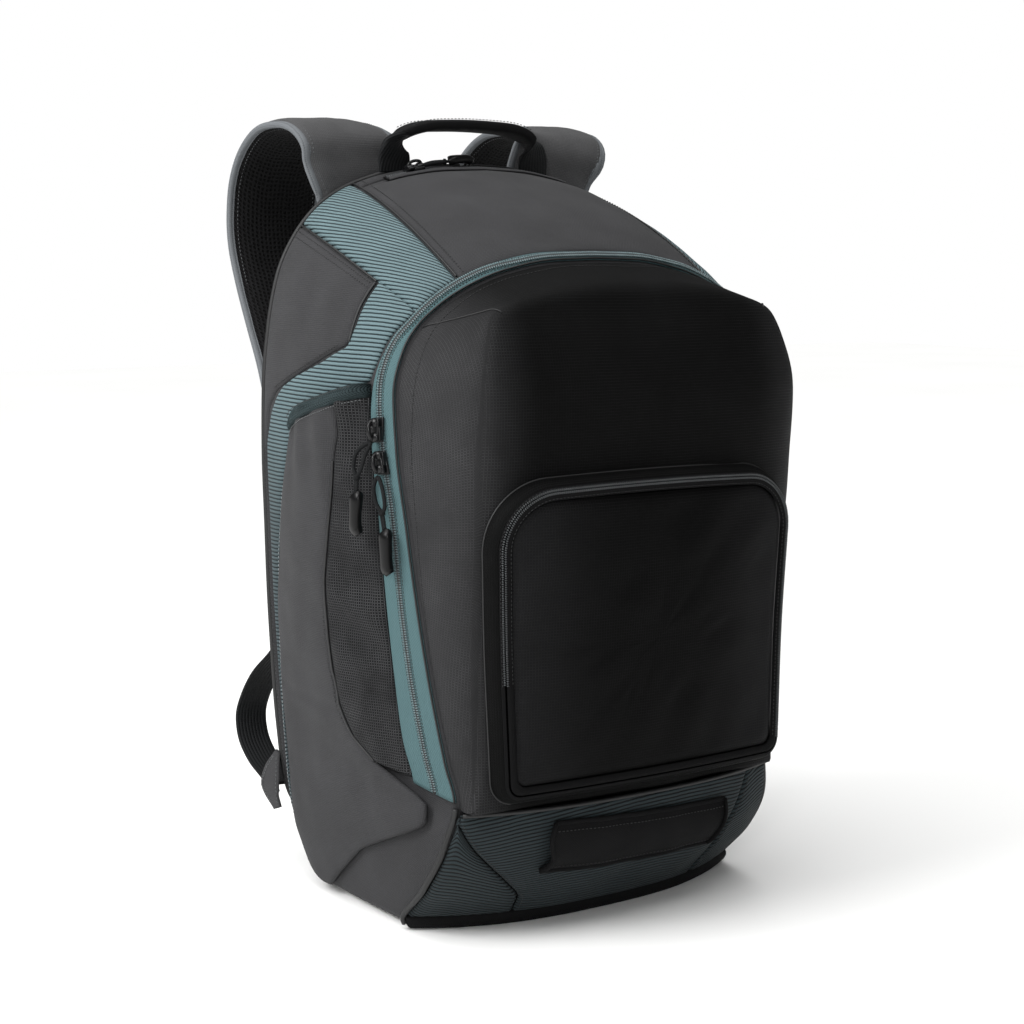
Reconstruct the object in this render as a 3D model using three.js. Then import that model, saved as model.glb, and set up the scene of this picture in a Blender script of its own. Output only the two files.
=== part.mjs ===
import * as THREE from 'three';

// Baseball bat backpack standing on its base. Millimetres, +Z up, the front faces -Y.
// The origin is the centre of the flat base.
const WIDTH = 320;
const HEIGHT = 514;
const DEPTH = 240;
const BACK_Y = 125;
const HALF = WIDTH / 2;
const SHELL_WALL = 2.5;
const CLOTH = 1.5;
const GAP = 0.35;
const SEAM = 1.2;
const BASE_SHARE = 0.34;
const SKIN = 1;
const SIDE_BULGE = 11;
const CREASE_ROUND = 32;
const SLEEVE_BULGE = 12;
const DOOR_WALL = 2.2;
const DOOR_RETURN = 9;
const DOOR_BOTTOM = 93;
const POCKET_HALF = 121;
const POCKET_TOP = 309;
const POCKET_BOTTOM = 99;
const POCKET_CORNER = 44;
const POCKET_FOOT = 16;
const POCKET_ARCH = 4;
const POCKET_DEPTH = 17;
const POCKET_WALL = 1.8;
const COIL_WIDTH = 2.8;
const COIL_RISE = 2.2;
const PANEL_SEAT = 2.3;
const FLAP_SEAT = 4.9;
const FLAP_RISE = 7;
const BINDING_RISE = 3;
const BINDING_SEAT = 1.4;
const PAD_THICK = 9;
const STRAP_WIDTH = 74;
const STRAP_THICK = 12;
const WEB_WIDTH = 25;
const WEB_THICK = 2;
const STRAP_SEAT = 1.4;
const STRAP_REACH = 114;
const BUCKLE_WIDTH = 36;
const BUCKLE_THICK = 7;
const WING_WIDTH = 30;
const WING_SEAT = 7.3;
const HAUL_INSET = 13;
const HAUL_WIDTH = 28;
const HAUL_THICK = 8;
const SLIDER_HIGH = 4.8;
const PULL_RISE = 6.4;
const PULL_WIDTH = 9.2;
const PULL_THICK = 5.2;
const BACK_MIDDLE = 0.545 * HEIGHT;
const PAD_MIDDLE = 0.51 * HEIGHT;
const PAD_TOP = 0.93 * HEIGHT;
const FACE_MIDDLE = 0.506 * HEIGHT;

const CHARCOAL = 0x4a4a4b;
const RIPSTOP = 0x1b1c1d;
const CORDED = 0x5f7a80;
const TAPE = 0x6f8f94;
const COIL = 0x2e3534;
const BLACK = 0x141415;
const BINDING = 0x33484c;
const METAL = 0x2a2a2c;
const MESH = 0x1c1d1f;

// Section of the gusset at each station: the back outline, the front outline and the bulge between.
// Columns: station, back x, back z, back depth, front x, front z, front depth, bulge.
// x is a share of HALF, z of HEIGHT, depth of DEPTH, bulge of SIDE_BULGE.
const GUSSET = [
  [0.00, 0.000, 0.086, 0.000, 0.000, 0.000, 0.779, 0.00],
  [0.08, 0.375, 0.086, 0.000, 0.375, 0.000, 0.767, 0.00],
  [0.14, 0.713, 0.089, 0.000, 0.688, 0.000, 0.708, 0.00],
  [0.17, 0.831, 0.097, 0.000, 0.800, 0.002, 0.646, 0.00],
  [0.19, 0.888, 0.113, 0.000, 0.850, 0.014, 0.646, 0.18],
  [0.24, 0.931, 0.160, 0.000, 0.850, 0.070, 0.763, 0.27],
  [0.28, 0.950, 0.210, 0.000, 0.831, 0.130, 0.846, 0.36],
  [0.31, 0.963, 0.253, 0.000, 0.794, 0.185, 0.871, 0.45],
  [0.36, 0.975, 0.321, 0.000, 0.819, 0.243, 0.846, 0.55],
  [0.42, 0.988, 0.418, 0.000, 0.863, 0.346, 0.813, 0.64],
  [0.48, 0.994, 0.510, 0.000, 0.900, 0.438, 0.796, 0.73],
  [0.54, 1.000, 0.603, 0.000, 0.931, 0.535, 0.779, 0.73],
  [0.60, 0.994, 0.696, 0.000, 0.950, 0.630, 0.750, 0.73],
  [0.66, 0.969, 0.774, 0.000, 0.944, 0.706, 0.729, 0.82],
  [0.71, 0.919, 0.848, 0.000, 0.894, 0.759, 0.725, 0.91],
  [0.75, 0.838, 0.901, 0.004, 0.831, 0.788, 0.729, 1.00],
  [0.79, 0.713, 0.946, 0.013, 0.756, 0.809, 0.738, 1.00],
  [0.83, 0.563, 0.973, 0.025, 0.625, 0.833, 0.742, 1.00],
  [0.88, 0.375, 0.990, 0.038, 0.438, 0.854, 0.746, 1.00],
  [0.94, 0.188, 0.998, 0.046, 0.213, 0.866, 0.750, 1.00],
  [1.00, 0.000, 1.000, 0.050, 0.000, 0.868, 0.750, 1.00],
];

// Door face: height share, depth at the middle, depth lost at a full half width.
const FACE = [
  [0.000, 0.913, 0.110],
  [0.175, 0.963, 0.050],
  [0.389, 0.988, 0.058],
  [0.584, 1.017, 0.050],
  [0.700, 1.021, 0.036],
  [0.778, 0.992, 0.036],
  [0.817, 0.958, 0.036],
  [0.850, 0.940, 0.024],
];

// Door crease: station, x share of HALF, z share of HEIGHT, rounding as a share of CREASE_ROUND.
const CREASE = [
  [0.310, 0.788, 0.181, 0.28],
  [0.360, 0.800, 0.243, 0.75],
  [0.420, 0.806, 0.346, 0.94],
  [0.480, 0.813, 0.438, 1.00],
  [0.540, 0.819, 0.535, 0.94],
  [0.600, 0.825, 0.630, 0.81],
  [0.660, 0.800, 0.716, 0.50],
  [0.700, 0.756, 0.774, 0.34],
  [0.735, 0.706, 0.807, 0.22],
  [0.760, 0.650, 0.816, 0.25],
  [0.790, 0.588, 0.821, 0.28],
  [0.830, 0.500, 0.827, 0.31],
  [0.880, 0.363, 0.833, 0.31],
  [0.940, 0.188, 0.837, 0.31],
  [1.000, 0.000, 0.839, 0.31],
];

// Base front panel: height, half width, depth at the side, depth at the middle (shares).
const BASE_FRONT = [
  [0.000, 0.800, 0.646, 0.779],
  [0.014, 0.850, 0.646, 0.792],
  [0.070, 0.850, 0.763, 0.867],
  [0.130, 0.831, 0.846, 0.930],
  [0.181, 0.794, 0.880, 0.960],
];

// Corded yoke: station, first and last share across the gusset.
const YOKE = [
  [0.200, 0.006, 0.075],
  [0.246, 0.006, 0.050],
  [0.300, 0.006, 0.048],
  [0.380, 0.006, 0.070],
  [0.460, 0.006, 0.112],
  [0.516, 0.006, 0.172],
  [0.555, 0.012, 0.236],
  [0.583, 0.085, 0.284],
  [0.599, 0.140, 0.360],
  [0.613, 0.200, 0.455],
  [0.630, 0.310, 0.605],
  [0.646, 0.430, 0.735],
  [0.661, 0.540, 0.850],
  [0.684, 0.690, 0.880],
  [0.710, 0.712, 0.900],
  [0.740, 0.712, 0.930],
  [0.760, 0.712, 0.945],
];
// Shoulder band of the yoke, same columns.
const BAND = [
  [0.762, 0.006, 0.948],
  [0.785, 0.006, 0.948],
  [0.805, 0.006, 0.942],
  [0.822, 0.006, 0.940],
];

// Bat sleeve seams across the gusset: station, back edge, middle seam, tape edge, share of SLEEVE_BULGE.
const SLEEVE = [
  [0.190, 0.090, 0.400, 0.990, 0.08],
  [0.246, 0.065, 0.600, 0.990, 0.21],
  [0.290, 0.062, 0.900, 0.990, 0.33],
  [0.305, 0.062, 0.880, 0.970, 0.38],
  [0.319, 0.062, 0.650, 0.800, 0.42],
  [0.338, 0.064, 0.555, 0.800, 0.50],
  [0.367, 0.070, 0.470, 0.800, 0.58],
  [0.394, 0.078, 0.450, 0.810, 0.67],
  [0.420, 0.092, 0.460, 0.815, 0.75],
  [0.474, 0.130, 0.495, 0.830, 0.92],
  [0.541, 0.215, 0.550, 0.845, 1.00],
  [0.583, 0.290, 0.585, 0.850, 1.00],
  [0.618, 0.300, 0.640, 0.855, 1.00],
  [0.661, 0.320, 0.850, 0.865, 1.00],
];

// Sleeve mouth across the side: share across the gusset, station of the slanted top edge.
const MOUTH = [
  [0.290, 0.583],
  [0.375, 0.597],
  [0.500, 0.612],
  [0.640, 0.628],
  [0.760, 0.643],
  [0.860, 0.655],
];

// Shoulder strap centre line: x share of HALF, depth behind its seat as a share of STRAP_REACH,
// z share of HEIGHT.
const STRAP = [
  [0.488, 0.002, 0.905],
  [0.494, 0.000, 0.940],
  [0.506, 0.002, 0.975],
  [0.536, 0.011, 1.005],
  [0.555, 0.023, 1.032],
  [0.570, 0.128, 1.050],
  [0.575, 0.356, 1.058],
  [0.580, 0.602, 1.052],
  [0.584, 0.830, 1.022],
  [0.588, 0.953, 0.982],
  [0.590, 0.996, 0.935],
  [0.594, 0.979, 0.890],
  [0.602, 0.882, 0.838],
  [0.618, 0.707, 0.775],
  [0.635, 0.532, 0.715],
  [0.650, 0.409, 0.655],
  [0.665, 0.312, 0.590],
  [0.680, 0.242, 0.520],
  [0.690, 0.207, 0.465],
];

// Lower webbing centre line, same columns.
const WEB = [
  [0.700, 0.181, 0.3982],
  [0.735, 0.225, 0.352],
  [0.790, 0.339, 0.306],
  [0.840, 0.488, 0.268],
  [0.862, 0.593, 0.232],
  [0.872, 0.646, 0.200],
  [0.876, 0.602, 0.168],
  [0.880, 0.444, 0.142],
  [0.884, 0.251, 0.128],
  [0.898, 0.111, 0.122],
];

// Haul loop centre line: x share of HALF, inset from the back as a share of HAUL_INSET, z share of HEIGHT,
// turn of the webbing's width from X (0) towards Y (1).
const HAUL = [
  [-0.372, 1.000, 0.9915, 0],
  [-0.374, 1.000, 1.010, 0.05],
  [-0.366, 1.038, 1.028, 0.3],
  [-0.335, 1.038, 1.043, 0.8],
  [-0.250, 1.038, 1.054, 1],
  [-0.100, 1.038, 1.058, 1],
  [0.100, 1.038, 1.058, 1],
  [0.250, 1.038, 1.054, 1],
  [0.335, 1.038, 1.043, 0.8],
  [0.366, 1.038, 1.028, 0.3],
  [0.374, 1.000, 1.010, 0.05],
  [0.372, 1.000, 0.9915, 0],
];

function column(table, key, value) {
  // Monotone cubic through one key column and one value column.
  const x = table.map((row) => row[key]);
  const y = table.map((row) => row[value]);
  const n = x.length;
  const slope = [];
  for (let i = 0; i < n - 1; i += 1) slope.push((y[i + 1] - y[i]) / (x[i + 1] - x[i]));
  const tangent = slope.map((d, i) => {
    if (i === 0) return d;
    const before = slope[i - 1];
    if (before * d <= 0) return 0;
    const a = x[i] - x[i - 1];
    const b = x[i + 1] - x[i];
    return (3 * (a + b)) / ((2 * b + a) / before + (b + 2 * a) / d);
  });
  tangent.push(slope[n - 2]);
  return (at) => {
    const t = Math.min(Math.max(at, x[0]), x[n - 1]);
    let i = 0;
    while (i < n - 2 && t > x[i + 1]) i += 1;
    const h = x[i + 1] - x[i];
    const u = (t - x[i]) / h;
    const low = (1 + 2 * u) * (1 - u) * (1 - u) * y[i] + u * (1 - u) * (1 - u) * h * tangent[i];
    const high = u * u * (3 - 2 * u) * y[i + 1] + u * u * (u - 1) * h * tangent[i + 1];
    return low + high;
  };
}

function linear(table, key, value) {
  return (at) => {
    const t = Math.min(Math.max(at, table[0][key]), table[table.length - 1][key]);
    let i = 0;
    while (i < table.length - 2 && t > table[i + 1][key]) i += 1;
    const a = table[i];
    const b = table[i + 1];
    return a[value] + ((b[value] - a[value]) * (t - a[key])) / (b[key] - a[key]);
  };
}

const smooth = (t) => {
  const u = Math.min(Math.max(t, 0), 1);
  return u * u * (3 - 2 * u);
};
const mix = (a, b, t) => a + (b - a) * t;
const range = (n, from = 0, to = 1) => Array.from({ length: n + 1 }, (_, i) => mix(from, to, i / n));

const gussetAt = [1, 2, 3, 4, 5, 6, 7].map((k) => column(GUSSET, 0, k));
const MIDDLE = new THREE.Vector3(0, BACK_Y - 0.4 * DEPTH, 0.486 * HEIGHT);

function rim(s) {
  const [bx, bz, bd, fx, fz, fd, bulge] = gussetAt.map((f) => f(s));
  return {
    bx: bx * HALF,
    bz: bz * HEIGHT,
    by: BACK_Y - bd * DEPTH,
    fx: fx * HALF,
    fz: fz * HEIGHT,
    fy: BACK_Y - fd * DEPTH,
    bulge: bulge * SIDE_BULGE,
  };
}

function gusset(side) {
  // Side, top and bottom wall: s runs from the base's middle to the top's middle, v from back to front.
  return (s, v) => {
    const r = rim(s);
    const up = smooth((s - 0.19) / 0.14);
    const lift = up * (1 - v) + (1 - up) * Math.max(0, 1 - v / BASE_SHARE) ** 2;
    const inside = Math.min(Math.max(s, 0.001), 0.999);
    const a = rim(inside - 0.001);
    const b = rim(inside + 0.001);
    const tx = b.bx + b.fx - a.bx - a.fx;
    const tz = b.bz + b.fz - a.bz - a.fz;
    const long = Math.hypot(tx, tz);
    const out = r.bulge * 4 * v * (1 - v);
    const x = mix(r.bx, r.fx, v) + (tz / long) * out;
    const z = r.fz + (r.bz - r.fz) * lift - (tx / long) * out;
    return new THREE.Vector3(side * x, mix(r.by, r.fy, v), z);
  };
}

function lifted(surface) {
  // Point on a surface moved out along its normal.
  return (a, b, height) => {
    const e = 0.002;
    const p = surface(a, b);
    const du = surface(a + e, b).sub(surface(a - e, b));
    const dv = surface(a, b + e).sub(surface(a, b - e));
    const n = du.cross(dv).normalize();
    if (n.dot(p.clone().sub(MIDDLE)) < 0) n.negate();
    return p.addScaledVector(n, height);
  };
}

function faceY(x, z) {
  const share = z / HEIGHT;
  return BACK_Y - (faceMid(share) - faceSide(share) * (x / HALF) ** 2) * DEPTH;
}
const faceMid = column(FACE, 0, 1);
const faceSide = column(FACE, 0, 2);
const onFace = (x, z, height) => new THREE.Vector3(x, faceY(x, z) - height, z);

const baseCols = [1, 2, 3].map((k) => column(BASE_FRONT, 0, k));
const basePanel = (u, w) => {
  // u from -1 to 1 across, w from 0 to 1 up.
  const share = w * BASE_FRONT[BASE_FRONT.length - 1][0];
  const [half, sideDepth, midDepth] = baseCols.map((f) => f(share));
  const depth = mix(midDepth, sideDepth, Math.abs(u) ** 2.6);
  return new THREE.Vector3(u * half * HALF, BACK_Y - depth * DEPTH, share * HEIGHT);
};

const group = new THREE.Group();
group.name = 'baseball_bat_backpack';

function add(name, points, faces, color, roughness = 0.9, metalness = 0) {
  let volume = 0;
  for (const [a, b, c] of faces) volume += points[a].dot(points[b].clone().cross(points[c]));
  const index = faces.flatMap(([a, b, c]) => (volume < 0 ? [a, c, b] : [a, b, c]));
  const geometry = new THREE.BufferGeometry();
  geometry.setAttribute('position', new THREE.Float32BufferAttribute(points.flatMap((p) => p.toArray()), 3));
  geometry.setIndex(index);
  geometry.computeVertexNormals();
  const material = new THREE.MeshStandardMaterial({ color, roughness, metalness });
  material.name = name;
  const mesh = new THREE.Mesh(geometry, material);
  mesh.name = name;
  group.add(mesh);
}

function loft(name, loops, color, roughness, metalness) {
  // Capped tube through closed loops; each loop runs out along one side and back along the other.
  const n = loops[0].length;
  const faces = [];
  for (let i = 0; i < loops.length - 1; i += 1) {
    for (let k = 0; k < n; k += 1) {
      const a = i * n + k;
      const b = i * n + ((k + 1) % n);
      faces.push([a, b, b + n], [a, b + n, a + n]);
    }
  }
  for (let k = 0; k < n / 2 - 1; k += 1) {
    const last = (loops.length - 1) * n;
    faces.push([k, n - 1 - k, n - 2 - k], [k, n - 2 - k, k + 1]);
    faces.push([last + k, last + n - 2 - k, last + n - 1 - k], [last + k, last + k + 1, last + n - 2 - k]);
  }
  add(name, loops.flat(), faces, color, roughness, metalness);
}

function ringed(name, rings, color, roughness, metalness) {
  // Closed skin through rings; the first and the last are single points.
  const points = rings.flat();
  const starts = [];
  let total = 0;
  for (const ring of rings) {
    starts.push(total);
    total += ring.length;
  }
  const faces = [];
  for (let i = 0; i < rings.length - 1; i += 1) {
    const n = Math.max(rings[i].length, rings[i + 1].length);
    for (let k = 0; k < n; k += 1) {
      const m = (k + 1) % n;
      const [p, q] = [starts[i], starts[i + 1]];
      if (rings[i].length === 1) faces.push([p, q + m, q + k]);
      else if (rings[i + 1].length === 1) faces.push([p + k, p + m, q]);
      else faces.push([p + k, p + m, q + m], [p + k, q + m, q + k]);
    }
  }
  add(name, points, faces, color, roughness, metalness);
}

function slab(name, rows, across, at, low, high, color, roughness) {
  // Cloth sheet over rows of a surface; at(row, share, height) gives a point.
  const shares = range(across);
  const loops = rows.map((row) => [
    ...shares.map((t) => at(row, t, high(row, t))),
    ...shares.toReversed().map((t) => at(row, t, low(row, t))),
  ]);
  loft(name, loops, color, roughness);
}

function outline(width, thick, edge, n = 3) {
  // Flat section with rounded ends: pairs of [across, height], out along the top, back along the bottom.
  const top = range(n * 2).map((t) => {
    const a = mix(-1, 1, t);
    const rise = edge + (1 - edge) * (1 - a ** 4) ** 0.5;
    return [(a * width) / 2, (rise * thick) / 2];
  });
  return [...top, ...top.toReversed().map(([a, h]) => [a, -h])];
}

function ribbon(name, path, wide, section, color, roughness) {
  // Flat strap along a path; wide(i) is the direction of its width.
  const loops = path.map((p, i) => {
    const before = path[Math.max(i - 1, 0)];
    const after = path[Math.min(i + 1, path.length - 1)];
    const along = after.clone().sub(before).normalize();
    const w = wide(i).clone();
    w.addScaledVector(along, -w.dot(along)).normalize();
    const up = along.clone().cross(w);
    return section(i).map(([a, h]) => p.clone().addScaledVector(w, a).addScaledVector(up, h));
  });
  loft(name, loops, color, roughness);
}

const bothSides = [['left', -1], ['right', 1]];
const STATIONS = [
  0, 0.08, 0.13, 0.155, 0.172, 0.19, 0.215, 0.24, 0.275, 0.31, 0.36, 0.42, 0.48,
  0.54, 0.6, 0.64, 0.68, 0.71, 0.74, 0.765, 0.79, 0.82, 0.86, 0.9, 0.95, 1,
];
const LOOP = [
  ...STATIONS.map((s) => [s, -1]),
  ...STATIONS.slice(1, -1).toReversed().map((s) => [s, 1]),
];

function mainShell() {
  const at = { [-1]: lifted(gusset(-1)), 1: lifted(gusset(1)) };
  const ring = (v, height) => LOOP.map(([s, side]) => at[side](s, v, height));
  const backRing = (scale, inset) => LOOP.map(([s, side]) => {
    const p = gusset(side)(s, 0);
    return new THREE.Vector3(p.x * scale, p.y - inset, mix(BACK_MIDDLE, p.z, scale));
  });
  const outer = [0.03, 0.1, 0.2, BASE_SHARE, 0.5, 0.66, 0.84, 1].map((v) => ring(v, 0));
  const inner = [1, 0.66, BASE_SHARE, 0.1, 0.04].map((v) => ring(v, -SHELL_WALL));
  ringed('main_shell', [
    [new THREE.Vector3(0, BACK_Y, BACK_MIDDLE)],
    backRing(0.6, 0),
    backRing(0.97, 0),
    backRing(0.99, SHELL_WALL * 0.64),
    ...outer,
    ...inner,
    backRing(0.96, SHELL_WALL * 1.4),
    backRing(0.6, SHELL_WALL),
    [new THREE.Vector3(0, BACK_Y - SHELL_WALL, BACK_MIDDLE)],
  ], CHARCOAL);
}

function backPad() {
  const ring = (scale, height) => LOOP.filter((_, i) => i % 2 === 0).map(([s, side]) => {
    const p = gusset(side)(Math.max(s, 0.1), 0);
    const z = mix(PAD_MIDDLE, Math.min(p.z, PAD_TOP), scale);
    return new THREE.Vector3(p.x * scale * 0.93, BACK_Y + GAP + height, z);
  });
  ringed('back_pad', [
    [new THREE.Vector3(0, BACK_Y + GAP + PAD_THICK, PAD_MIDDLE)],
    ring(0.55, PAD_THICK),
    ring(0.84, PAD_THICK * 0.94),
    ring(0.9, PAD_THICK * 0.6),
    ring(0.92, 0),
    ring(0.5, 0),
    [new THREE.Vector3(0, BACK_Y + GAP, PAD_MIDDLE)],
  ], MESH);
}

const creaseAt = [1, 2, 3].map((k) => column(CREASE, 0, k));
const DOOR_STATIONS = STATIONS.filter((s) => s >= 0.31);

function doorStations() {
  // Rear edge and crease around the door: up the left, over the top, down the right, along the bottom.
  const side = (s, hand) => {
    const r = rim(s);
    const [x, z, round] = creaseAt.map((f) => f(s));
    const rear = new THREE.Vector3(hand * (r.fx - 1.4 * GAP), r.fy - GAP, r.fz);
    const crease = onFace(hand * x * HALF, z * HEIGHT, 0);
    return { rear, crease, round: round * CREASE_ROUND };
  };
  const left = DOOR_STATIONS.map((s) => side(s, -1));
  const right = DOOR_STATIONS.slice(0, -1).toReversed().map((s) => side(s, 1));
  const bottom = range(8, 0.92, -0.92).map((t) => {
    const x = t * 0.788 * HALF;
    const crease = onFace(x, DOOR_BOTTOM, 0);
    const rear = new THREE.Vector3(x * 0.99, crease.y + DOOR_RETURN, DOOR_BOTTOM + 1.4 * GAP);
    return { rear, crease, round: DOOR_RETURN * 0.45 };
  });
  return [...left, ...right, ...bottom];
}

function frontDoor() {
  const stations = doorStations();
  const inwards = (p, distance) => {
    const d = new THREE.Vector3(-p.x, 0, FACE_MIDDLE - p.z);
    return p.clone().addScaledVector(d.normalize(), distance);
  };
  const section = stations.map(({ rear, crease, round }) => {
    const wall = crease.clone().lerp(rear, Math.min(0.9, round / crease.distanceTo(rear)));
    const f = inwards(crease, round);
    f.y = faceY(f.x, f.z);
    const curve = (t) => wall.clone().multiplyScalar((1 - t) ** 2)
      .addScaledVector(crease, 2 * t * (1 - t))
      .addScaledVector(f, t * t);
    return [rear, wall.clone().lerp(rear, 0.45), curve(0), curve(0.33), curve(0.66), curve(1)];
  });
  const outer = range(5, 0, 5).map((k) => section.map((row) => row[k]));
  for (const share of [0.3, 0.62]) {
    outer.push(outer[5].map((p) => {
      const x = p.x * (1 - share);
      const z = mix(p.z, FACE_MIDDLE, share);
      return new THREE.Vector3(x, faceY(x, z), z);
    }));
  }
  const inset = (p, distance) => inwards(p, distance).add(new THREE.Vector3(0, distance * 0.8, 0));
  const inner = outer.map((ring, k) => ring.map((p) => {
    if (k === 0) return inwards(p, DOOR_WALL);
    return k > 5 ? p.clone().add(new THREE.Vector3(0, DOOR_WALL, 0)) : inset(p, DOOR_WALL);
  }));
  const pole = new THREE.Vector3(0, faceY(0, FACE_MIDDLE), FACE_MIDDLE);
  ringed('front_door', [
    [pole],
    ...outer.toReversed(),
    ...inner,
    [pole.clone().add(new THREE.Vector3(0, DOOR_WALL, 0))],
  ], RIPSTOP);
}

const POCKET_MIDDLE = (POCKET_TOP + POCKET_BOTTOM) / 2;

function pocketRing(inset, height) {
  // Rounded rectangle on the door face, moved in by the inset.
  const half = POCKET_HALF - inset;
  const top = POCKET_TOP - inset;
  const bottom = POCKET_BOTTOM + inset;
  const big = Math.max(POCKET_CORNER - inset, POCKET_CORNER * 0.23);
  const small = Math.max(POCKET_FOOT - inset, POCKET_FOOT * 0.44);
  const points = [];
  const arc = (cx, cz, r, from) => range(5).forEach((t) => {
    const a = ((from + 90 * t) * Math.PI) / 180;
    points.push([cx + r * Math.cos(a), cz + r * Math.sin(a)]);
  });
  const line = (ax, az, bx, bz, n) => range(n).slice(1, -1).forEach((t) => {
    points.push([mix(ax, bx, t), mix(az, bz, t)]);
  });
  arc(half - big, top - big, big, 0);
  line(half - big, top, -half + big, top, 4);
  arc(-half + big, top - big, big, 90);
  line(-half, top - big, -half, bottom + small, 3);
  arc(-half + small, bottom + small, small, 180);
  line(-half + small, bottom, half - small, bottom, 4);
  arc(half - small, bottom + small, small, 270);
  line(half, bottom + small, half, top - big, 3);
  return points.map(([x, z]) => {
    const arch = z > POCKET_MIDDLE ? POCKET_ARCH * (1 - (x / POCKET_HALF) ** 2) : 0;
    return onFace(x, z + arch, height);
  });
}

// Pocket section: distance in from the outer seam as a share of POCKET_CORNER, height above the
// door face as a share of POCKET_DEPTH; the last row is the middle of the panel.
const POCKET = [
  [0.000, 0.003],
  [0.018, 0.244],
  [0.057, 0.479],
  [0.114, 0.626],
  [0.227, 0.721],
  [0.307, 0.685],
  [0.352, 0.697],
  [0.409, 0.779],
  [0.773, 0.897],
  [1.409, 0.968],
  [2.409, 0.991],
];

const pocketHeight = linear(POCKET, 0, 1);
const pocketLift = (inset) => GAP + POCKET_DEPTH * pocketHeight(inset / POCKET_CORNER);

function frontPocket() {
  const insets = POCKET.slice(0, -1).map((row) => row[0] * POCKET_CORNER);
  const outer = insets.toReversed().map((d) => pocketRing(d, pocketLift(d)));
  const inner = insets.filter((_, i) => i !== 5 && i !== 1).map((d, i) => {
    const height = i === 0 ? pocketLift(d) : Math.max(GAP * 1.15, pocketLift(d) - POCKET_WALL);
    return pocketRing(d + POCKET_WALL * (i < 3 ? 1.2 : 0.5), height);
  });
  const peak = GAP + POCKET_DEPTH * POCKET[POCKET.length - 1][1];
  ringed('front_pocket', [
    [onFace(0, POCKET_MIDDLE, peak)],
    ...outer,
    ...inner,
    [onFace(0, POCKET_MIDDLE, peak - POCKET_WALL)],
  ], RIPSTOP);
}

function pocketZip() {
  // The zip runs up the left side, across the top and down the right side, on the pocket's shoulder.
  const near = POCKET_CORNER * 0.139;
  const rows = [near, near + COIL_WIDTH];
  const [a, b] = rows.map((d) => pocketRing(d, pocketLift(d) + 2 * GAP));
  const [c, e] = rows.map((d) => pocketRing(d, pocketLift(d) + 2 * GAP + COIL_RISE * 0.6));
  const n = a.length;
  const path = range(22, 0, 22).map((k) => (n - 4 + Math.round(k)) % n);
  loft('pocket_zip_coil', path.map((k) => [c[k], e[k], b[k], a[k]]), COIL);
}

function baseFront() {
  const at = lifted(basePanel);
  const rows = range(7, 0.05, 0.985);
  slab('base_front_panel', rows, 16, (w, t, h) => at(mix(-1, 1, t), w, h),
    () => PANEL_SEAT, () => PANEL_SEAT + CLOTH * 1.33, CORDED);
  const lift = (t) => FLAP_SEAT + FLAP_RISE * Math.sin(Math.PI * t);
  slab('grab_flap', range(8, -0.52, 0.6), 8, (u, t, h) => at(u, mix(0.46, 0.9, t), h),
    (u, t) => lift(t), (u, t) => lift(t) + CLOTH, BLACK);
}

const sleeveCols = [1, 2, 3, 4].map((k) => linear(SLEEVE, 0, k));
const mouthBack = linear(MOUTH, 1, 0);

function sleeveHeight(s, v) {
  // Distance of the sleeve cloth from the gusset: a swelling with its top at the middle seam.
  const [back, seam, front, bulge] = sleeveCols.map((f) => f(s));
  const t = v < seam ? (v - back) / (seam - back) : (front - v) / (front - seam);
  return SEAM + GAP + bulge * SLEEVE_BULGE * Math.sin((Math.min(Math.max(t, 0), 1) * Math.PI) / 2) ** 0.9;
}

const MOUTH_SHARE = 0.583;
const clampMouth = (s, v) => (s > MOUTH_SHARE ? Math.max(v, mouthBack(s)) : v);

function sides(name, side) {
  const at = lifted(gusset(side));
  for (const [piece, table, across] of [['side', YOKE, 5], ['band', BAND, 9]]) {
    const [low, high] = [linear(table, 0, 1), linear(table, 0, 2)];
    const stations = table.map((row) => row[0]);
    slab(`yoke_${piece}_${name}`, stations, across, (s, t, h) => at(s, mix(low(s), high(s), t), h),
      () => SEAM, () => SEAM + SKIN, CORDED);
  }
  const panelRows = [
    0.192, 0.215, 0.246, 0.29, 0.319, 0.338, 0.367, 0.394, 0.42, 0.474, 0.541, 0.583, 0.6, 0.614,
  ];
  const panelSpan = (s, t) => {
    const [back, seam] = sleeveCols.map((f) => f(s));
    return mix(clampMouth(s, back) + 0.003, seam - 0.002, t);
  };
  const panelLow = (s, t) => sleeveHeight(s, panelSpan(s, t));
  slab(`sleeve_panel_${name}`, panelRows, 6, (s, t, h) => at(s, panelSpan(s, t), h),
    panelLow, (s, t) => panelLow(s, t) + CLOTH, CHARCOAL);
  const gussetRows = [0.322, 0.338, 0.367, 0.394, 0.42, 0.474, 0.541, 0.583, 0.618, 0.635, 0.648];
  const gussetSpan = (s, t) => {
    const [, seam, front] = sleeveCols.map((f) => f(s));
    return mix(clampMouth(s, seam) + 0.002, front - 0.012, t);
  };
  const gussetLow = (s, t) => sleeveHeight(s, gussetSpan(s, t));
  slab(`sleeve_gusset_${name}`, gussetRows, 5, (s, t, h) => at(s, gussetSpan(s, t), h),
    gussetLow, (s, t) => gussetLow(s, t) + CLOTH, RIPSTOP);
}

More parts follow.
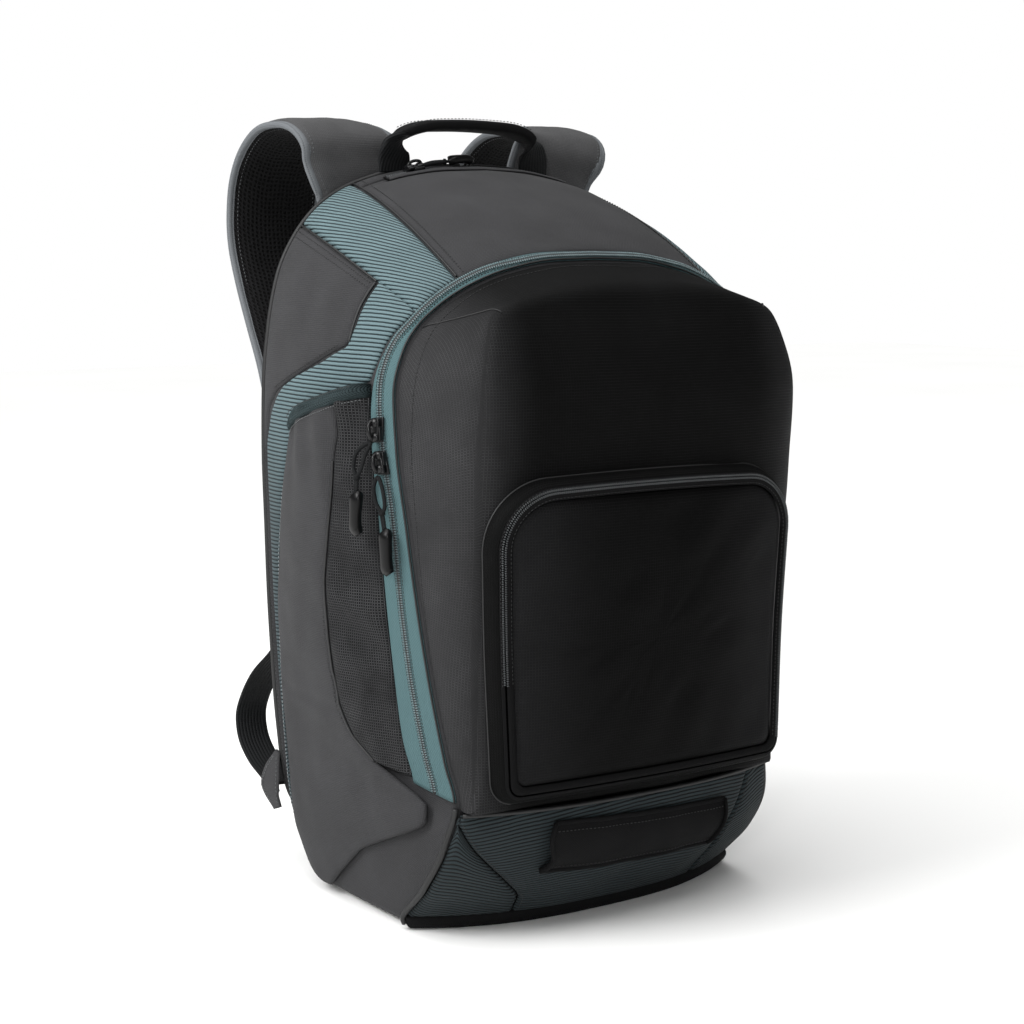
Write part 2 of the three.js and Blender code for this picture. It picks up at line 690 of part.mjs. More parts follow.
const TAPE_EDGE = [
  [0.310, 0.812],
  [0.359, 0.805],
  [0.419, 0.826],
  [0.500, 0.848],
  [0.556, 0.858],
  [0.630, 0.870],
  [0.677, 0.900],
  [0.715, 0.930],
  [0.756, 0.953],
  [0.845, 0.948],
  [1.000, 0.955],
];
const COIL_LINE = [
  [0.310, 0.905],
  [0.391, 0.905],
  [0.465, 0.915],
  [0.565, 0.933],
  [0.630, 0.918],
  [0.691, 0.930],
  [0.758, 0.962],
  [0.845, 0.958],
  [0.911, 0.970],
  [1.000, 0.972],
];
const tapeEdge = column(TAPE_EDGE, 0, 1);
const coilLine = column(COIL_LINE, 0, 1);
const COIL_SEAT = SEAM + SKIN + 1.4 * GAP;

function mainZip() {
  const stations = DOOR_STATIONS.flatMap((s, i, all) => (i && s < 0.62 ? [(s + all[i - 1]) / 2, s] : [s]));
  const path = [
    ...stations.map((s) => [s, -1]),
    ...stations.slice(0, -1).toReversed().map((s) => [s, 1]),
  ];
  const at = { [-1]: lifted(gusset(-1)), 1: lifted(gusset(1)) };
  slab('main_zip_tape', path, 2, ([s, side], t, h) => at[side](s, mix(tapeEdge(s), 0.994, t), h),
    () => SEAM, () => SEAM + SKIN, TAPE);
  slab('main_zip_coil', path, 2, ([s, side], t, h) => at[side](s, coilLine(s) + mix(-0.011, 0.011, t), h),
    () => COIL_SEAT, (row, t) => COIL_SEAT + COIL_RISE * (t === 0.5 ? 1 : 0.55), COIL);
}

function topZip() {
  const path = [
    ...[0.86, 0.9, 0.95, 1].map((s) => [s, -1]),
    ...[0.95, 0.9, 0.86].map((s) => [s, 1]),
  ];
  const at = { [-1]: lifted(gusset(-1)), 1: lifted(gusset(1)) };
  slab('top_zip', path, 4, ([s, side], t, h) => at[side](s, mix(0.05, 0.17, t), h),
    () => GAP, (row, t) => GAP + (t === 0.5 ? COIL_RISE * 1.1 : SKIN), BLACK);
}

function mouthBinding(name, side) {
  const at = lifted(gusset(side));
  const rows = MOUTH.map((row) => row[0]);
  const line = linear(MOUTH, 0, 1);
  const height = (v) => sleeveHeight(line(v), v) + CLOTH + BINDING_SEAT;
  const across = (v, t, h) => at(line(v) + mix(-0.012, 0.008, t), v, h);
  slab(`sleeve_binding_${name}`, range(9, rows[0] + 0.015, 0.855), 2, across,
    (v) => height(v), (v, t) => height(v) + BINDING_RISE * (t === 0.5 ? 1 : 0.67), BINDING);
}

const strapPoint = (row, side) => {
  return new THREE.Vector3(side * row[0] * HALF, BACK_Y + STRAP_SEAT + row[1] * STRAP_REACH, row[2] * HEIGHT);
};
const X = new THREE.Vector3(1, 0, 0);
const Y = new THREE.Vector3(0, 1, 0);

function curved(points, n) {
  return new THREE.CatmullRomCurve3(points, false, 'centripetal').getPoints(n);
}

function straps(name, side) {
  const path = curved(STRAP.map((row) => strapPoint(row, side)), 24);
  const wide = (i) => {
    const share = i / 24;
    if (share < 0.2) return STRAP_WIDTH * mix(0.86, 1, share / 0.2);
    return STRAP_WIDTH * mix(1, 0.72, smooth((share - 0.55) / 0.45));
  };
  const thick = (i) => STRAP_THICK * mix(0.55, 1, smooth(i / 4)) * mix(1, 0.6, smooth((i - 20) / 4));
  ribbon(`shoulder_strap_${name}`, path, () => X, (i) => outline(wide(i), thick(i), 0.3, 2), CHARCOAL);
  const web = curved(WEB.map((row) => strapPoint(row, side)), 22);
  ribbon(`lower_webbing_${name}`, web, () => X, () => outline(WEB_WIDTH, WEB_THICK, 0.6, 1), BLACK);
  const clip = [
    [0.6903, 0.2061, 0.4636],
    [0.693, 0.1991, 0.45],
    [0.697, 0.1895, 0.42],
    [0.6994, 0.1825, 0.4024],
  ];
  const buckle = clip.map((row) => strapPoint(row, side));
  const size = [[0.83, 0.57], [1, 1], [1, 1], [0.83, 0.57]];
  ribbon(`strap_buckle_${name}`, buckle, () => X, (i) => {
    return outline(size[i][0] * BUCKLE_WIDTH, size[i][1] * BUCKLE_THICK, 0.5, 1);
  }, BLACK, 0.6);
  const wing = [[0.915, -0.012, 0.178], [0.930, 0.023, 0.150], [0.935, 0.049, 0.122], [0.915, 0.005, 0.094]];
  const tab = wing.map((row) => strapPoint(row, side).add(new THREE.Vector3(side * WING_SEAT, 0, 0)));
  const tabWide = [0.2, 0.733, 1, 0.467];
  ribbon(`wing_tab_${name}`, tab, () => new THREE.Vector3(0, 1, 0), (i) => {
    return outline(tabWide[i] * WING_WIDTH, WEB_THICK, 0.6, 1);
  }, CHARCOAL);
}

function haulLoop() {
  const path = curved(HAUL.map((row) => {
    return new THREE.Vector3(row[0] * HALF, BACK_Y - row[1] * HAUL_INSET, row[2] * HEIGHT);
  }), 26);
  const turn = linear(HAUL.map((row, i) => [i / (HAUL.length - 1), row[3]]), 0, 1);
  ribbon('haul_loop', path, (i) => X.clone().lerp(Y, turn(i / 26)), (i) => {
    const grip = smooth((0.5 - Math.abs(i / 26 - 0.5)) / 0.22);
    return outline(mix(WEB_WIDTH, HAUL_WIDTH, grip), mix(WEB_THICK * 1.5, HAUL_THICK, grip), 0.5, 2);
  }, BLACK);
}

function slider(name, surface, s, v, lift, size) {
  const at = (a, b, h) => surface(s + a * size.ds, v + b * size.dv, h);
  const plate = (k, h0, h1) => [
    at(k, -0.7, h1), at(k, 0.7, h1), at(k, 1, h0), at(k, -1, h0),
  ];
  const rise = [0.33, 0.92, 1, 0.42];
  const rows = [-1, -0.6, 0.2, 1].map((k, i) => plate(k, lift, lift + SLIDER_HIGH * rise[i]));
  loft(name, rows, METAL, 0.35, 0.8);
}

function pull(name, surface, foot, table, color) {
  // Cord loop and moulded end as one rounded body.
  const path = table.map(([a, b, rise, wide, thick]) => {
    return [a, b, foot + rise * PULL_RISE, wide * PULL_WIDTH, thick * PULL_THICK];
  });
  const points = path.map(([s, v, h]) => surface(s, v, h));
  ribbon(name, points, (i) => {
    const [s, v, h] = path[i];
    return surface(s, v + 0.01, h).sub(surface(s, v - 0.01, h)).normalize();
  }, (i) => outline(path[i][3], path[i][4], 0.4, 1), color, 0.7);
}

mainShell();
backPad();
frontDoor();
frontPocket();
pocketZip();
baseFront();
mainZip();
topZip();
for (const [name, side] of bothSides) {
  sides(name, side);
  mouthBinding(name, side);
  straps(name, side);
}
haulLoop();

const leftWall = lifted(gusset(-1));
const tall = { ds: 0.011, dv: 0.026 };
const sideLift = COIL_SEAT + COIL_RISE + 1.2 * GAP;
const topLift = COIL_RISE * 1.1 + 2.2 * GAP;
slider('main_zip_slider_upper', leftWall, 0.618, 0.918, sideLift, tall);
slider('main_zip_slider_lower', leftWall, 0.589, 0.93, sideLift, tall);
slider('top_zip_slider', leftWall, 0.9, 0.11, topLift, { ds: 0.016, dv: 0.02 });

// Pulls: station, share across the gusset, share of PULL_RISE, of PULL_WIDTH and of PULL_THICK.
pull('main_zip_pull_upper', leftWall, sideLift + 0.69 * SLIDER_HIGH, [
  [0.6064, 0.902, 0.00, 0.43, 0.46],
  [0.59, 0.862, 0.53, 0.98, 0.54],
  [0.572, 0.846, 0.84, 0.98, 0.54],
  [0.562, 0.84, 0.92, 0.43, 0.54],
  [0.545, 0.833, 1.00, 0.43, 0.54],
  [0.54, 0.83, 1.00, 0.91, 0.92],
  [0.51, 0.826, 1.00, 1.00, 1.00],
  [0.502, 0.826, 1.00, 0.57, 0.62],
], BLACK);
pull('main_zip_pull_lower', leftWall, sideLift + 0.56 * SLIDER_HIGH, [
  [0.5772, 0.932, 0.00, 0.43, 0.46],
  [0.566, 0.934, 0.08, 0.98, 0.54],
  [0.546, 0.938, 0.00, 0.98, 0.54],
  [0.536, 0.94, -0.08, 0.43, 0.54],
  [0.517, 0.944, -0.08, 0.43, 0.54],
  [0.512, 0.944, -0.08, 0.91, 0.92],
  [0.478, 0.946, -0.08, 1.00, 1.00],
  [0.47, 0.946, -0.08, 0.57, 0.62],
], BLACK);
pull('top_zip_pull', leftWall, topLift + 0.42 * SLIDER_HIGH, [
  [0.918, 0.1, 0.00, 0.43, 0.46],
  [0.93, 0.09, 0.06, 0.43, 0.54],
  [0.95, 0.085, 0.09, 0.39, 0.54],
  [0.956, 0.085, 0.12, 0.87, 0.85],
  [0.984, 0.08, 0.12, 0.96, 0.92],
  [0.992, 0.08, 0.12, 0.52, 0.54],
], BLACK);

export default group;
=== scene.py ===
import math

import bmesh
import bpy
import numpy as np
from mathutils import Matrix, Vector


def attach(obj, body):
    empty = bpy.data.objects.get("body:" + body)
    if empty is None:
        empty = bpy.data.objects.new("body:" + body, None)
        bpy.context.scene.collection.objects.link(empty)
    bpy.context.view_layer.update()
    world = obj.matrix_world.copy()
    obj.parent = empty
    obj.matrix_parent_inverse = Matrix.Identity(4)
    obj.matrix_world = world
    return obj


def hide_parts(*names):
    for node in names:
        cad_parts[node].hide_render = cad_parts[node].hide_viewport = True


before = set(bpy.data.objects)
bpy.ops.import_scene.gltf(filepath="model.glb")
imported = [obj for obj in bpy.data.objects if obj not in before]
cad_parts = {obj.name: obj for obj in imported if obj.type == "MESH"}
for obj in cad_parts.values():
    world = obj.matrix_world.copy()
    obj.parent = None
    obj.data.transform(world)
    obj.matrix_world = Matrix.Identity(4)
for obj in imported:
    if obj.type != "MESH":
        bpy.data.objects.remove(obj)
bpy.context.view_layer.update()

# Baseball bat backpack on its base, with its front facing -Y and its left side at -X. Sizes are in
# millimetres and tables hold shares of them, as in the solids; MM turns them to metres in the meshes.
WIDTH = 320
HEIGHT = 514
DEPTH = 240
BACK_Y = 125
HALF = WIDTH / 2
SIDE_BULGE = 11
CREASE_ROUND = 32
SLEEVE_BULGE = 12
DOOR_BOTTOM = 93
DOOR_RETURN = 9
FACE_MIDDLE = 0.506 * HEIGHT
POCKET_HALF = 121
POCKET_TOP = 309
POCKET_BOTTOM = 99
POCKET_CORNER = 44
POCKET_FOOT = 16
POCKET_ARCH = 4
POCKET_DEPTH = 17
PANEL_INSET = 13.6
POCKET_MIDDLE = (POCKET_TOP + POCKET_BOTTOM) / 2
STRAP_WIDTH = 74
STRAP_THICK = 12
STRAP_SEAT = 1.4
STRAP_REACH = 114
WEB_WIDTH = 25
WEB_THICK = 2
HAUL_INSET = 13
PAD_THICK = 9
PAD_MIDDLE = 0.51 * HEIGHT
PAD_TOP = 0.93 * HEIGHT
PAD_CHANNELS = (330, 190)
PAD_SHARES = (0, 0.3, 0.55, 0.7, 0.78, 0.84, 0.88, 0.905, 0.92, 0.925)
PAD_RISES = (1, 1, 1, 1, 0.98, 0.93, 0.78, 0.5, 0.2, 0)
X_WAY, Y_WAY = np.array([1.0, 0, 0]), np.array([0, 1.0, 0])
MM = 0.001
SEAM_TUCK = 1.1
PANEL_MESH = 3.4
SETTLE_FRAMES = 20
MIDDLE = np.array([0, BACK_Y - 0.4 * DEPTH, 0.486 * HEIGHT])

# Side wall: station, back x, back z, back depth, front x, front z, front depth, share of SIDE_BULGE.
GUSSET = [
    [0, 0, 0.086, 0, 0, 0, 0.779, 0], [0.08, 0.375, 0.086, 0, 0.375, 0, 0.767, 0],
    [0.14, 0.713, 0.089, 0, 0.688, 0, 0.708, 0], [0.17, 0.831, 0.097, 0, 0.8, 0.002, 0.646, 0],
    [0.19, 0.888, 0.113, 0, 0.85, 0.014, 0.646, 0.18], [0.24, 0.931, 0.16, 0, 0.85, 0.07, 0.763, 0.27],
    [0.28, 0.95, 0.21, 0, 0.831, 0.13, 0.846, 0.36], [0.31, 0.963, 0.253, 0, 0.794, 0.185, 0.871, 0.45],
    [0.36, 0.975, 0.321, 0, 0.819, 0.243, 0.846, 0.55], [0.42, 0.988, 0.418, 0, 0.863, 0.346, 0.813, 0.64],
    [0.48, 0.994, 0.51, 0, 0.9, 0.438, 0.796, 0.73], [0.54, 1, 0.603, 0, 0.931, 0.535, 0.779, 0.73],
    [0.6, 0.994, 0.696, 0, 0.95, 0.63, 0.75, 0.73], [0.66, 0.969, 0.774, 0, 0.944, 0.706, 0.729, 0.82],
    [0.71, 0.919, 0.848, 0, 0.894, 0.759, 0.725, 0.91], [0.75, 0.838, 0.901, 0.004, 0.831, 0.788, 0.729, 1],
    [0.79, 0.713, 0.946, 0.013, 0.756, 0.809, 0.738, 1],
    [0.83, 0.563, 0.973, 0.025, 0.625, 0.833, 0.742, 1], [0.88, 0.375, 0.99, 0.038, 0.438, 0.854, 0.746, 1],
    [0.94, 0.188, 0.998, 0.046, 0.213, 0.866, 0.75, 1], [1, 0, 1, 0.05, 0, 0.868, 0.75, 1],
]

# Door face: height share, depth at the middle, depth lost at a full half width.
FACE = [
    [0, 0.913, 0.11], [0.175, 0.963, 0.05], [0.389, 0.988, 0.058], [0.584, 1.017, 0.05],
    [0.7, 1.021, 0.036], [0.778, 0.992, 0.036], [0.817, 0.958, 0.036], [0.85, 0.94, 0.024],
]

# Door crease: station, x share of HALF, z share of HEIGHT, rounding as a share of CREASE_ROUND.
CREASE = [
    [0.31, 0.788, 0.181, 0.28], [0.36, 0.8, 0.243, 0.75], [0.42, 0.806, 0.346, 0.94],
    [0.48, 0.813, 0.438, 1], [0.54, 0.819, 0.535, 0.94], [0.6, 0.825, 0.63, 0.81], [0.66, 0.8, 0.716, 0.5],
    [0.7, 0.756, 0.774, 0.34], [0.735, 0.706, 0.807, 0.22], [0.76, 0.65, 0.816, 0.25],
    [0.79, 0.588, 0.821, 0.28], [0.83, 0.5, 0.827, 0.31], [0.88, 0.363, 0.833, 0.31],
    [0.94, 0.188, 0.837, 0.31], [1, 0, 0.839, 0.31],
]

# Base front panel: height, half width, depth at the side, depth at the middle (shares).
BASE_FRONT = [
    [0, 0.8, 0.646, 0.779], [0.014, 0.85, 0.646, 0.792], [0.07, 0.85, 0.763, 0.867],
    [0.13, 0.831, 0.846, 0.93], [0.181, 0.794, 0.88, 0.96],
]

# Corded yoke: station, first and last share across the side wall.
YOKE = [
    [0.2, 0.006, 0.075], [0.246, 0.006, 0.05], [0.3, 0.006, 0.048], [0.38, 0.006, 0.07],
    [0.46, 0.006, 0.112], [0.516, 0.006, 0.172], [0.555, 0.012, 0.236], [0.583, 0.085, 0.284],
    [0.599, 0.14, 0.36], [0.613, 0.2, 0.455], [0.63, 0.31, 0.605], [0.646, 0.43, 0.735],
    [0.661, 0.54, 0.85], [0.684, 0.69, 0.88], [0.71, 0.712, 0.9], [0.74, 0.712, 0.93], [0.76, 0.712, 0.945],
]

# Shoulder band of the yoke, same columns.
BAND = [
    [0.762, 0.004, 0.948], [0.785, 0.006, 0.948], [0.805, 0.006, 0.942], [0.829, 0.006, 0.945],
]

# Bat sleeve seams: station, back edge, middle seam, tape edge, share of SLEEVE_BULGE.
SLEEVE = [
    [0.19, 0.09, 0.4, 0.99, 0.08], [0.246, 0.065, 0.6, 0.99, 0.21], [0.29, 0.062, 0.9, 0.99, 0.33],
    [0.305, 0.062, 0.88, 0.97, 0.38], [0.319, 0.062, 0.65, 0.8, 0.42], [0.338, 0.064, 0.555, 0.8, 0.5],
    [0.367, 0.07, 0.47, 0.8, 0.58], [0.394, 0.078, 0.45, 0.81, 0.67], [0.42, 0.092, 0.46, 0.815, 0.75],
    [0.474, 0.13, 0.495, 0.83, 0.92], [0.541, 0.215, 0.55, 0.845, 1], [0.583, 0.29, 0.585, 0.85, 1],
    [0.618, 0.3, 0.64, 0.855, 1], [0.661, 0.32, 0.85, 0.865, 1],
]

# Sleeve mouth: share across the wall, station of its slanted top edge.
MOUTH = [
    [0.29, 0.583], [0.375, 0.597], [0.5, 0.612], [0.64, 0.628], [0.76, 0.643], [0.86, 0.655],
]

# Shoulder strap: x share of HALF, share of STRAP_REACH behind its seat, z share of HEIGHT.
STRAP = [
    [0.488, 0.002, 0.905], [0.494, 0, 0.94], [0.506, 0.002, 0.975], [0.536, 0.011, 1.005],
    [0.555, 0.023, 1.032], [0.57, 0.128, 1.05], [0.575, 0.356, 1.058], [0.58, 0.602, 1.052],
    [0.584, 0.83, 1.022], [0.588, 0.953, 0.982], [0.59, 0.996, 0.935], [0.594, 0.979, 0.89],
    [0.602, 0.882, 0.838], [0.618, 0.707, 0.775], [0.635, 0.532, 0.715], [0.65, 0.409, 0.655],
    [0.665, 0.312, 0.59], [0.68, 0.242, 0.52], [0.69, 0.207, 0.465],
]

# Lower webbing, same columns.
WEB = [
    [0.7, 0.181, 0.3982], [0.735, 0.225, 0.352], [0.79, 0.339, 0.306], [0.84, 0.488, 0.268],
    [0.862, 0.593, 0.232], [0.872, 0.646, 0.2], [0.876, 0.602, 0.168], [0.88, 0.444, 0.142],
    [0.884, 0.251, 0.128], [0.898, 0.111, 0.122],
]

# Haul loop: x share of HALF, share of HAUL_INSET, z share of HEIGHT, turn of its width from X to Y.
HAUL = [
    [-0.372, 1, 0.9915, 0], [-0.374, 1, 1.01, 0.05], [-0.366, 1.038, 1.028, 0.3],
    [-0.335, 1.038, 1.043, 0.8], [-0.25, 1.038, 1.054, 1], [-0.1, 1.038, 1.058, 1], [0.1, 1.038, 1.058, 1],
    [0.25, 1.038, 1.054, 1], [0.335, 1.038, 1.043, 0.8], [0.366, 1.038, 1.028, 0.3], [0.374, 1, 1.01, 0.05],
    [0.372, 1, 0.9915, 0],
]

# Outer edge of the zip tape, and the line of the coil: station, share across the wall.
TAPE_EDGE = [
    [0.31, 0.812], [0.359, 0.805], [0.419, 0.826], [0.5, 0.848], [0.556, 0.858], [0.63, 0.87], [0.677, 0.9],
    [0.715, 0.93], [0.756, 0.953], [0.845, 0.948], [1, 0.955],
]

COIL_LINE = [
    [0.31, 0.905], [0.391, 0.905], [0.465, 0.915], [0.565, 0.933], [0.63, 0.918], [0.691, 0.93],
    [0.758, 0.962], [0.845, 0.958], [0.911, 0.97], [1, 0.972],
]

# Pocket section: share of POCKET_CORNER in from the seam, share of POCKET_DEPTH off the door face.
POCKET = [
    [0, 0.003], [0.018, 0.244], [0.057, 0.479], [0.114, 0.626], [0.227, 0.721], [0.307, 0.685],
    [0.352, 0.697], [0.409, 0.779], [0.773, 0.897], [1.409, 0.968], [2.409, 0.991],
]


# The bag's own surfaces.
def curve_through(table, key, value, straight=False):
    """Monotone cubic (or straight lines) through one key column and one value column."""
    rows = np.array(table, float)
    x, y = rows[:, key], rows[:, value]
    slope = np.diff(y) / np.diff(x)
    tangent = np.concatenate([slope, slope[-1:]])
    for i in range(1, len(slope)):
        before, after = slope[i - 1], slope[i]
        a, b = x[i] - x[i - 1], x[i + 1] - x[i]
        if before * after <= 0:
            tangent[i] = 0
        else:
            tangent[i] = 3 * (a + b) / ((2 * b + a) / before + (b + 2 * a) / after)

    def at(value_at):
        t = np.clip(np.asarray(value_at, float), x[0], x[-1])
        if straight:
            return np.interp(t, x, y)
        i = np.clip(np.searchsorted(x, t, side="right") - 1, 0, len(x) - 2)
        h = x[i + 1] - x[i]
        u = (t - x[i]) / h
        low = (1 + 2 * u) * (1 - u) ** 2 * y[i] + u * (1 - u) ** 2 * h * tangent[i]
        return low + u * u * (3 - 2 * u) * y[i + 1] + u * u * (u - 1) * h * tangent[i + 1]

    return at


def smooth(t):
    u = np.clip(t, 0, 1)
    return u * u * (3 - 2 * u)


def mix(a, b, t):
    return a + (b - a) * t


def stack(*columns):
    return np.stack(np.broadcast_arrays(*columns), -1)


def unit(vectors):
    return vectors / np.maximum(np.linalg.norm(vectors, axis=-1, keepdims=True), 1e-9)


gusset_columns = [curve_through(GUSSET, 0, k) for k in range(1, 8)]
crease_columns = [curve_through(CREASE, 0, k) for k in (1, 2, 3)]
face_middle, face_side = curve_through(FACE, 0, 1), curve_through(FACE, 0, 2)
base_columns = [curve_through(BASE_FRONT, 0, k) for k in (1, 2, 3)]
sleeve_columns = [curve_through(SLEEVE, 0, k, straight=True) for k in (1, 2, 3, 4)]
mouth_line = curve_through(MOUTH, 0, 1, straight=True)
mouth_back = curve_through(MOUTH, 1, 0, straight=True)
tape_edge = curve_through(TAPE_EDGE, 0, 1)
coil_line = curve_through(COIL_LINE, 0, 1)
pocket_height = curve_through(POCKET, 0, 1)


def rim(s):
    bx, bz, bd, fx, fz, fd, bulge = [f(s) for f in gusset_columns]
    return (bx * HALF, BACK_Y - bd * DEPTH, bz * HEIGHT,
            fx * HALF, BACK_Y - fd * DEPTH, fz * HEIGHT, bulge * SIDE_BULGE)


def wall(q, v):
    """Side, top and bottom wall: q from -1 (base) over the left, 0 (top) and the right to 1 (base)."""
    q, v = np.broadcast_arrays(np.asarray(q, float), np.asarray(v, float))
    s = 1 - np.abs(q)
    bx, by, bz, fx, fy, fz, bulge = rim(s)
    up = smooth((s - 0.19) / 0.14)
    lift = up * (1 - v) + (1 - up) * np.maximum(0, 1 - v / 0.34) ** 2
    inside = np.clip(s, 0.001, 0.999)
    a, b = rim(inside - 0.001), rim(inside + 0.001)
    tx, tz = b[0] + b[3] - a[0] - a[3], b[2] + b[5] - a[2] - a[5]
    long = np.hypot(tx, tz)
    out = bulge * 4 * v * (1 - v)
    x = mix(bx, fx, v) + tz / long * out
    z = fz + (bz - fz) * lift - tx / long * out
    return stack(np.where(q < 0, -1, 1) * x, mix(by, fy, v), z)


def lifted(surface, a, b, height):
    """Points moved out from a surface along its normal."""
    e = 0.002
    a, b, height = np.broadcast_arrays(np.asarray(a, float), np.asarray(b, float), np.asarray(height, float))
    p = surface(a, b)
    n = unit(np.cross(surface(a + e, b) - surface(a - e, b), surface(a, b + e) - surface(a, b - e)))
    n = np.where(np.sum(n * (p - MIDDLE), -1, keepdims=True) < 0, -n, n)
    return p + n * height[..., None]


def face_y(x, z):
    share = z / HEIGHT
    return BACK_Y - (face_middle(share) - face_side(share) * (x / HALF) ** 2) * DEPTH


def base_panel(u, w):
    share = np.clip(w, 0, 1) * BASE_FRONT[-1][0]
    half, side, middle = [f(share) for f in base_columns]
    depth = mix(middle, side, np.abs(u) ** 2.6)
    return stack(u * half * HALF, BACK_Y - depth * DEPTH, share * HEIGHT)


# Cloth is cut from flat: how far each point of the wall lies along and across it, in millimetres,
# from a level line, so ribs and threads stay level on the side as they do on the bag.
CUT_S, CUT_V = np.linspace(0.001, 0.999, 400), np.linspace(0, 1, 81)
CUT_STEP = CUT_S[1] - CUT_S[0]
cut_points = wall(-(1 - CUT_S)[:, None], CUT_V[None, :])
CUT_UP = np.zeros(cut_points.shape[:2])
CUT_UP[1:] = np.cumsum(np.linalg.norm(np.diff(cut_points, axis=0), axis=-1), 0)
for j in range(len(CUT_V)):
    CUT_UP[:, j] -= np.interp(250, cut_points[100:300, j, 2], CUT_UP[100:300, j])
CUT_ACROSS = np.zeros(cut_points.shape[:2])
CUT_ACROSS[:, 1:] = np.cumsum(np.linalg.norm(np.diff(cut_points, axis=1), axis=-1), 1)


def cut_place(q, v):
    s = np.clip(1 - np.abs(q), CUT_S[0], CUT_S[-1])
    v = np.clip(v, 0, 1)
    i = np.clip(((s - CUT_S[0]) / CUT_STEP).astype(int), 0, len(CUT_S) - 2)
    j = np.clip((v / CUT_V[1]).astype(int), 0, len(CUT_V) - 2)
    a, b = (s - CUT_S[i]) / CUT_STEP, (v - CUT_V[j]) / CUT_V[1]

    def read(table):
        low = table[i, j] * (1 - a) + table[i + 1, j] * a
        return low * (1 - b) + (table[i, j + 1] * (1 - a) + table[i + 1, j + 1] * a) * b

    return stack(read(CUT_ACROSS), read(CUT_UP))


def rumple(points, size, amount, seed):
    """Soft, seeded waves about size mm long, for cloth that isn't drawn tight."""
    rng = np.random.default_rng(seed)
    total = np.zeros(points.shape[:-1])
    for _ in range(9):
        way = unit(rng.normal(size=3)) * rng.uniform(0.6, 1.6) / size * 2 * math.pi
        total += np.sin(points @ way + rng.uniform(0, 6.3))
    return total / 9 ** 0.5 * amount


# Meshes.
def finished(name, mesh, finish, nodes=()):
    """A smooth piece on the root, with its material; the solids that it stands for are hidden."""
    mesh.polygons.foreach_set("use_smooth", [True] * len(mesh.polygons))
    mesh.materials.append(finish)
    piece = bpy.data.objects.new(name, mesh)
    bpy.context.scene.collection.objects.link(piece)
    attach(piece, "root")
    if nodes:
        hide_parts(*nodes)
    return piece


def to_mesh(bm, name):
    mesh = bpy.data.meshes.new(name)
    bm.to_mesh(mesh)
    bm.free()
    return mesh


def places_of(mesh):
    """The mesh's vertices as rows of x, y and z."""
    flat = np.empty(len(mesh.vertices) * 3)
    mesh.vertices.foreach_get("co", flat)
    return flat.reshape(-1, 3)


def from_bmesh(bm, name, finish, nodes=()):
    return finished(name, to_mesh(bm, name), finish, nodes)


def laid(name, points, cut, finish, joined=False, closed=False, thick=0, nodes=()):
    """A cloth grid laid on points (rows x columns, mm); cut is its place on the flat cloth in mm.

    With joined, ends that meet are merged, and a row of equal points closes to one point.
    """
    steps = np.array(points.shape[:2]) - 1
    bm = bmesh.new()
    bmesh.ops.create_grid(bm, x_segments=int(steps[0]), y_segments=int(steps[1]), size=1)
    mesh = to_mesh(bm, name)
    i, j = np.rint((places_of(mesh)[:, :2] + 1) / 2 * steps).astype(int).T
    mesh.vertices.foreach_set("co", (points[i, j] * MM).ravel())
    corner = np.empty(len(mesh.loops), dtype=np.int32)
    mesh.loops.foreach_get("vertex_index", corner)
    mesh.uv_layers.new(name="cut").data.foreach_set("uv", (cut[i, j][corner] * MM).ravel())
    bm = bmesh.new()
    bm.from_mesh(mesh)
    if joined:
        bmesh.ops.remove_doubles(bm, verts=bm.verts, dist=1e-6)
    bmesh.ops.dissolve_degenerate(bm, edges=bm.edges, dist=1e-7)
    if closed:
        bmesh.ops.recalc_face_normals(bm, faces=bm.faces)
    else:
        centre = Vector(MIDDLE * MM)
        if sum(f.normal.dot(f.calc_center_median() - centre) * f.calc_area() for f in bm.faces) < 0:
            bmesh.ops.reverse_faces(bm, faces=bm.faces)
    bm.to_mesh(mesh)
    bm.free()
    piece = finished(name, mesh, finish, nodes)
    if thick:
        cloth = piece.modifiers.new("cloth", "SOLIDIFY")
        cloth.thickness = thick * MM
        cloth.offset = -1
    return piece


def spread(count, crowd=0.6):
    """Shares from 0 to 1, closer together at both ends."""
    t = np.linspace(0, 1, count + 1)
    return mix(t, 0.5 - 0.5 * np.cos(np.pi * t), crowd)


def travelled(points, axis):
    steps = np.linalg.norm(np.diff(points, axis=axis), axis=-1)
    start = np.zeros_like(np.take(steps, [0], axis=axis))
    return np.concatenate([start, np.cumsum(steps, axis)], axis)


def from_edges(points):
    """Distance of each grid point from the nearest sewn border, in millimetres."""
    along, across = travelled(points, 0), travelled(points, 1)
    ways = (across, across[:, -1:] - across, along, along[-1:] - along)
    return sum(np.maximum(way, 1e-3) ** -4.0 for way in ways) ** -0.25


def sewn(d, low, puff, soft, tuck):
    """Height of a panel d mm in from its seams: tucked down at them, and puffed up inside."""
    return low + puff * (1 - np.exp(-d / soft)) - tuck * np.exp(-d / SEAM_TUCK)


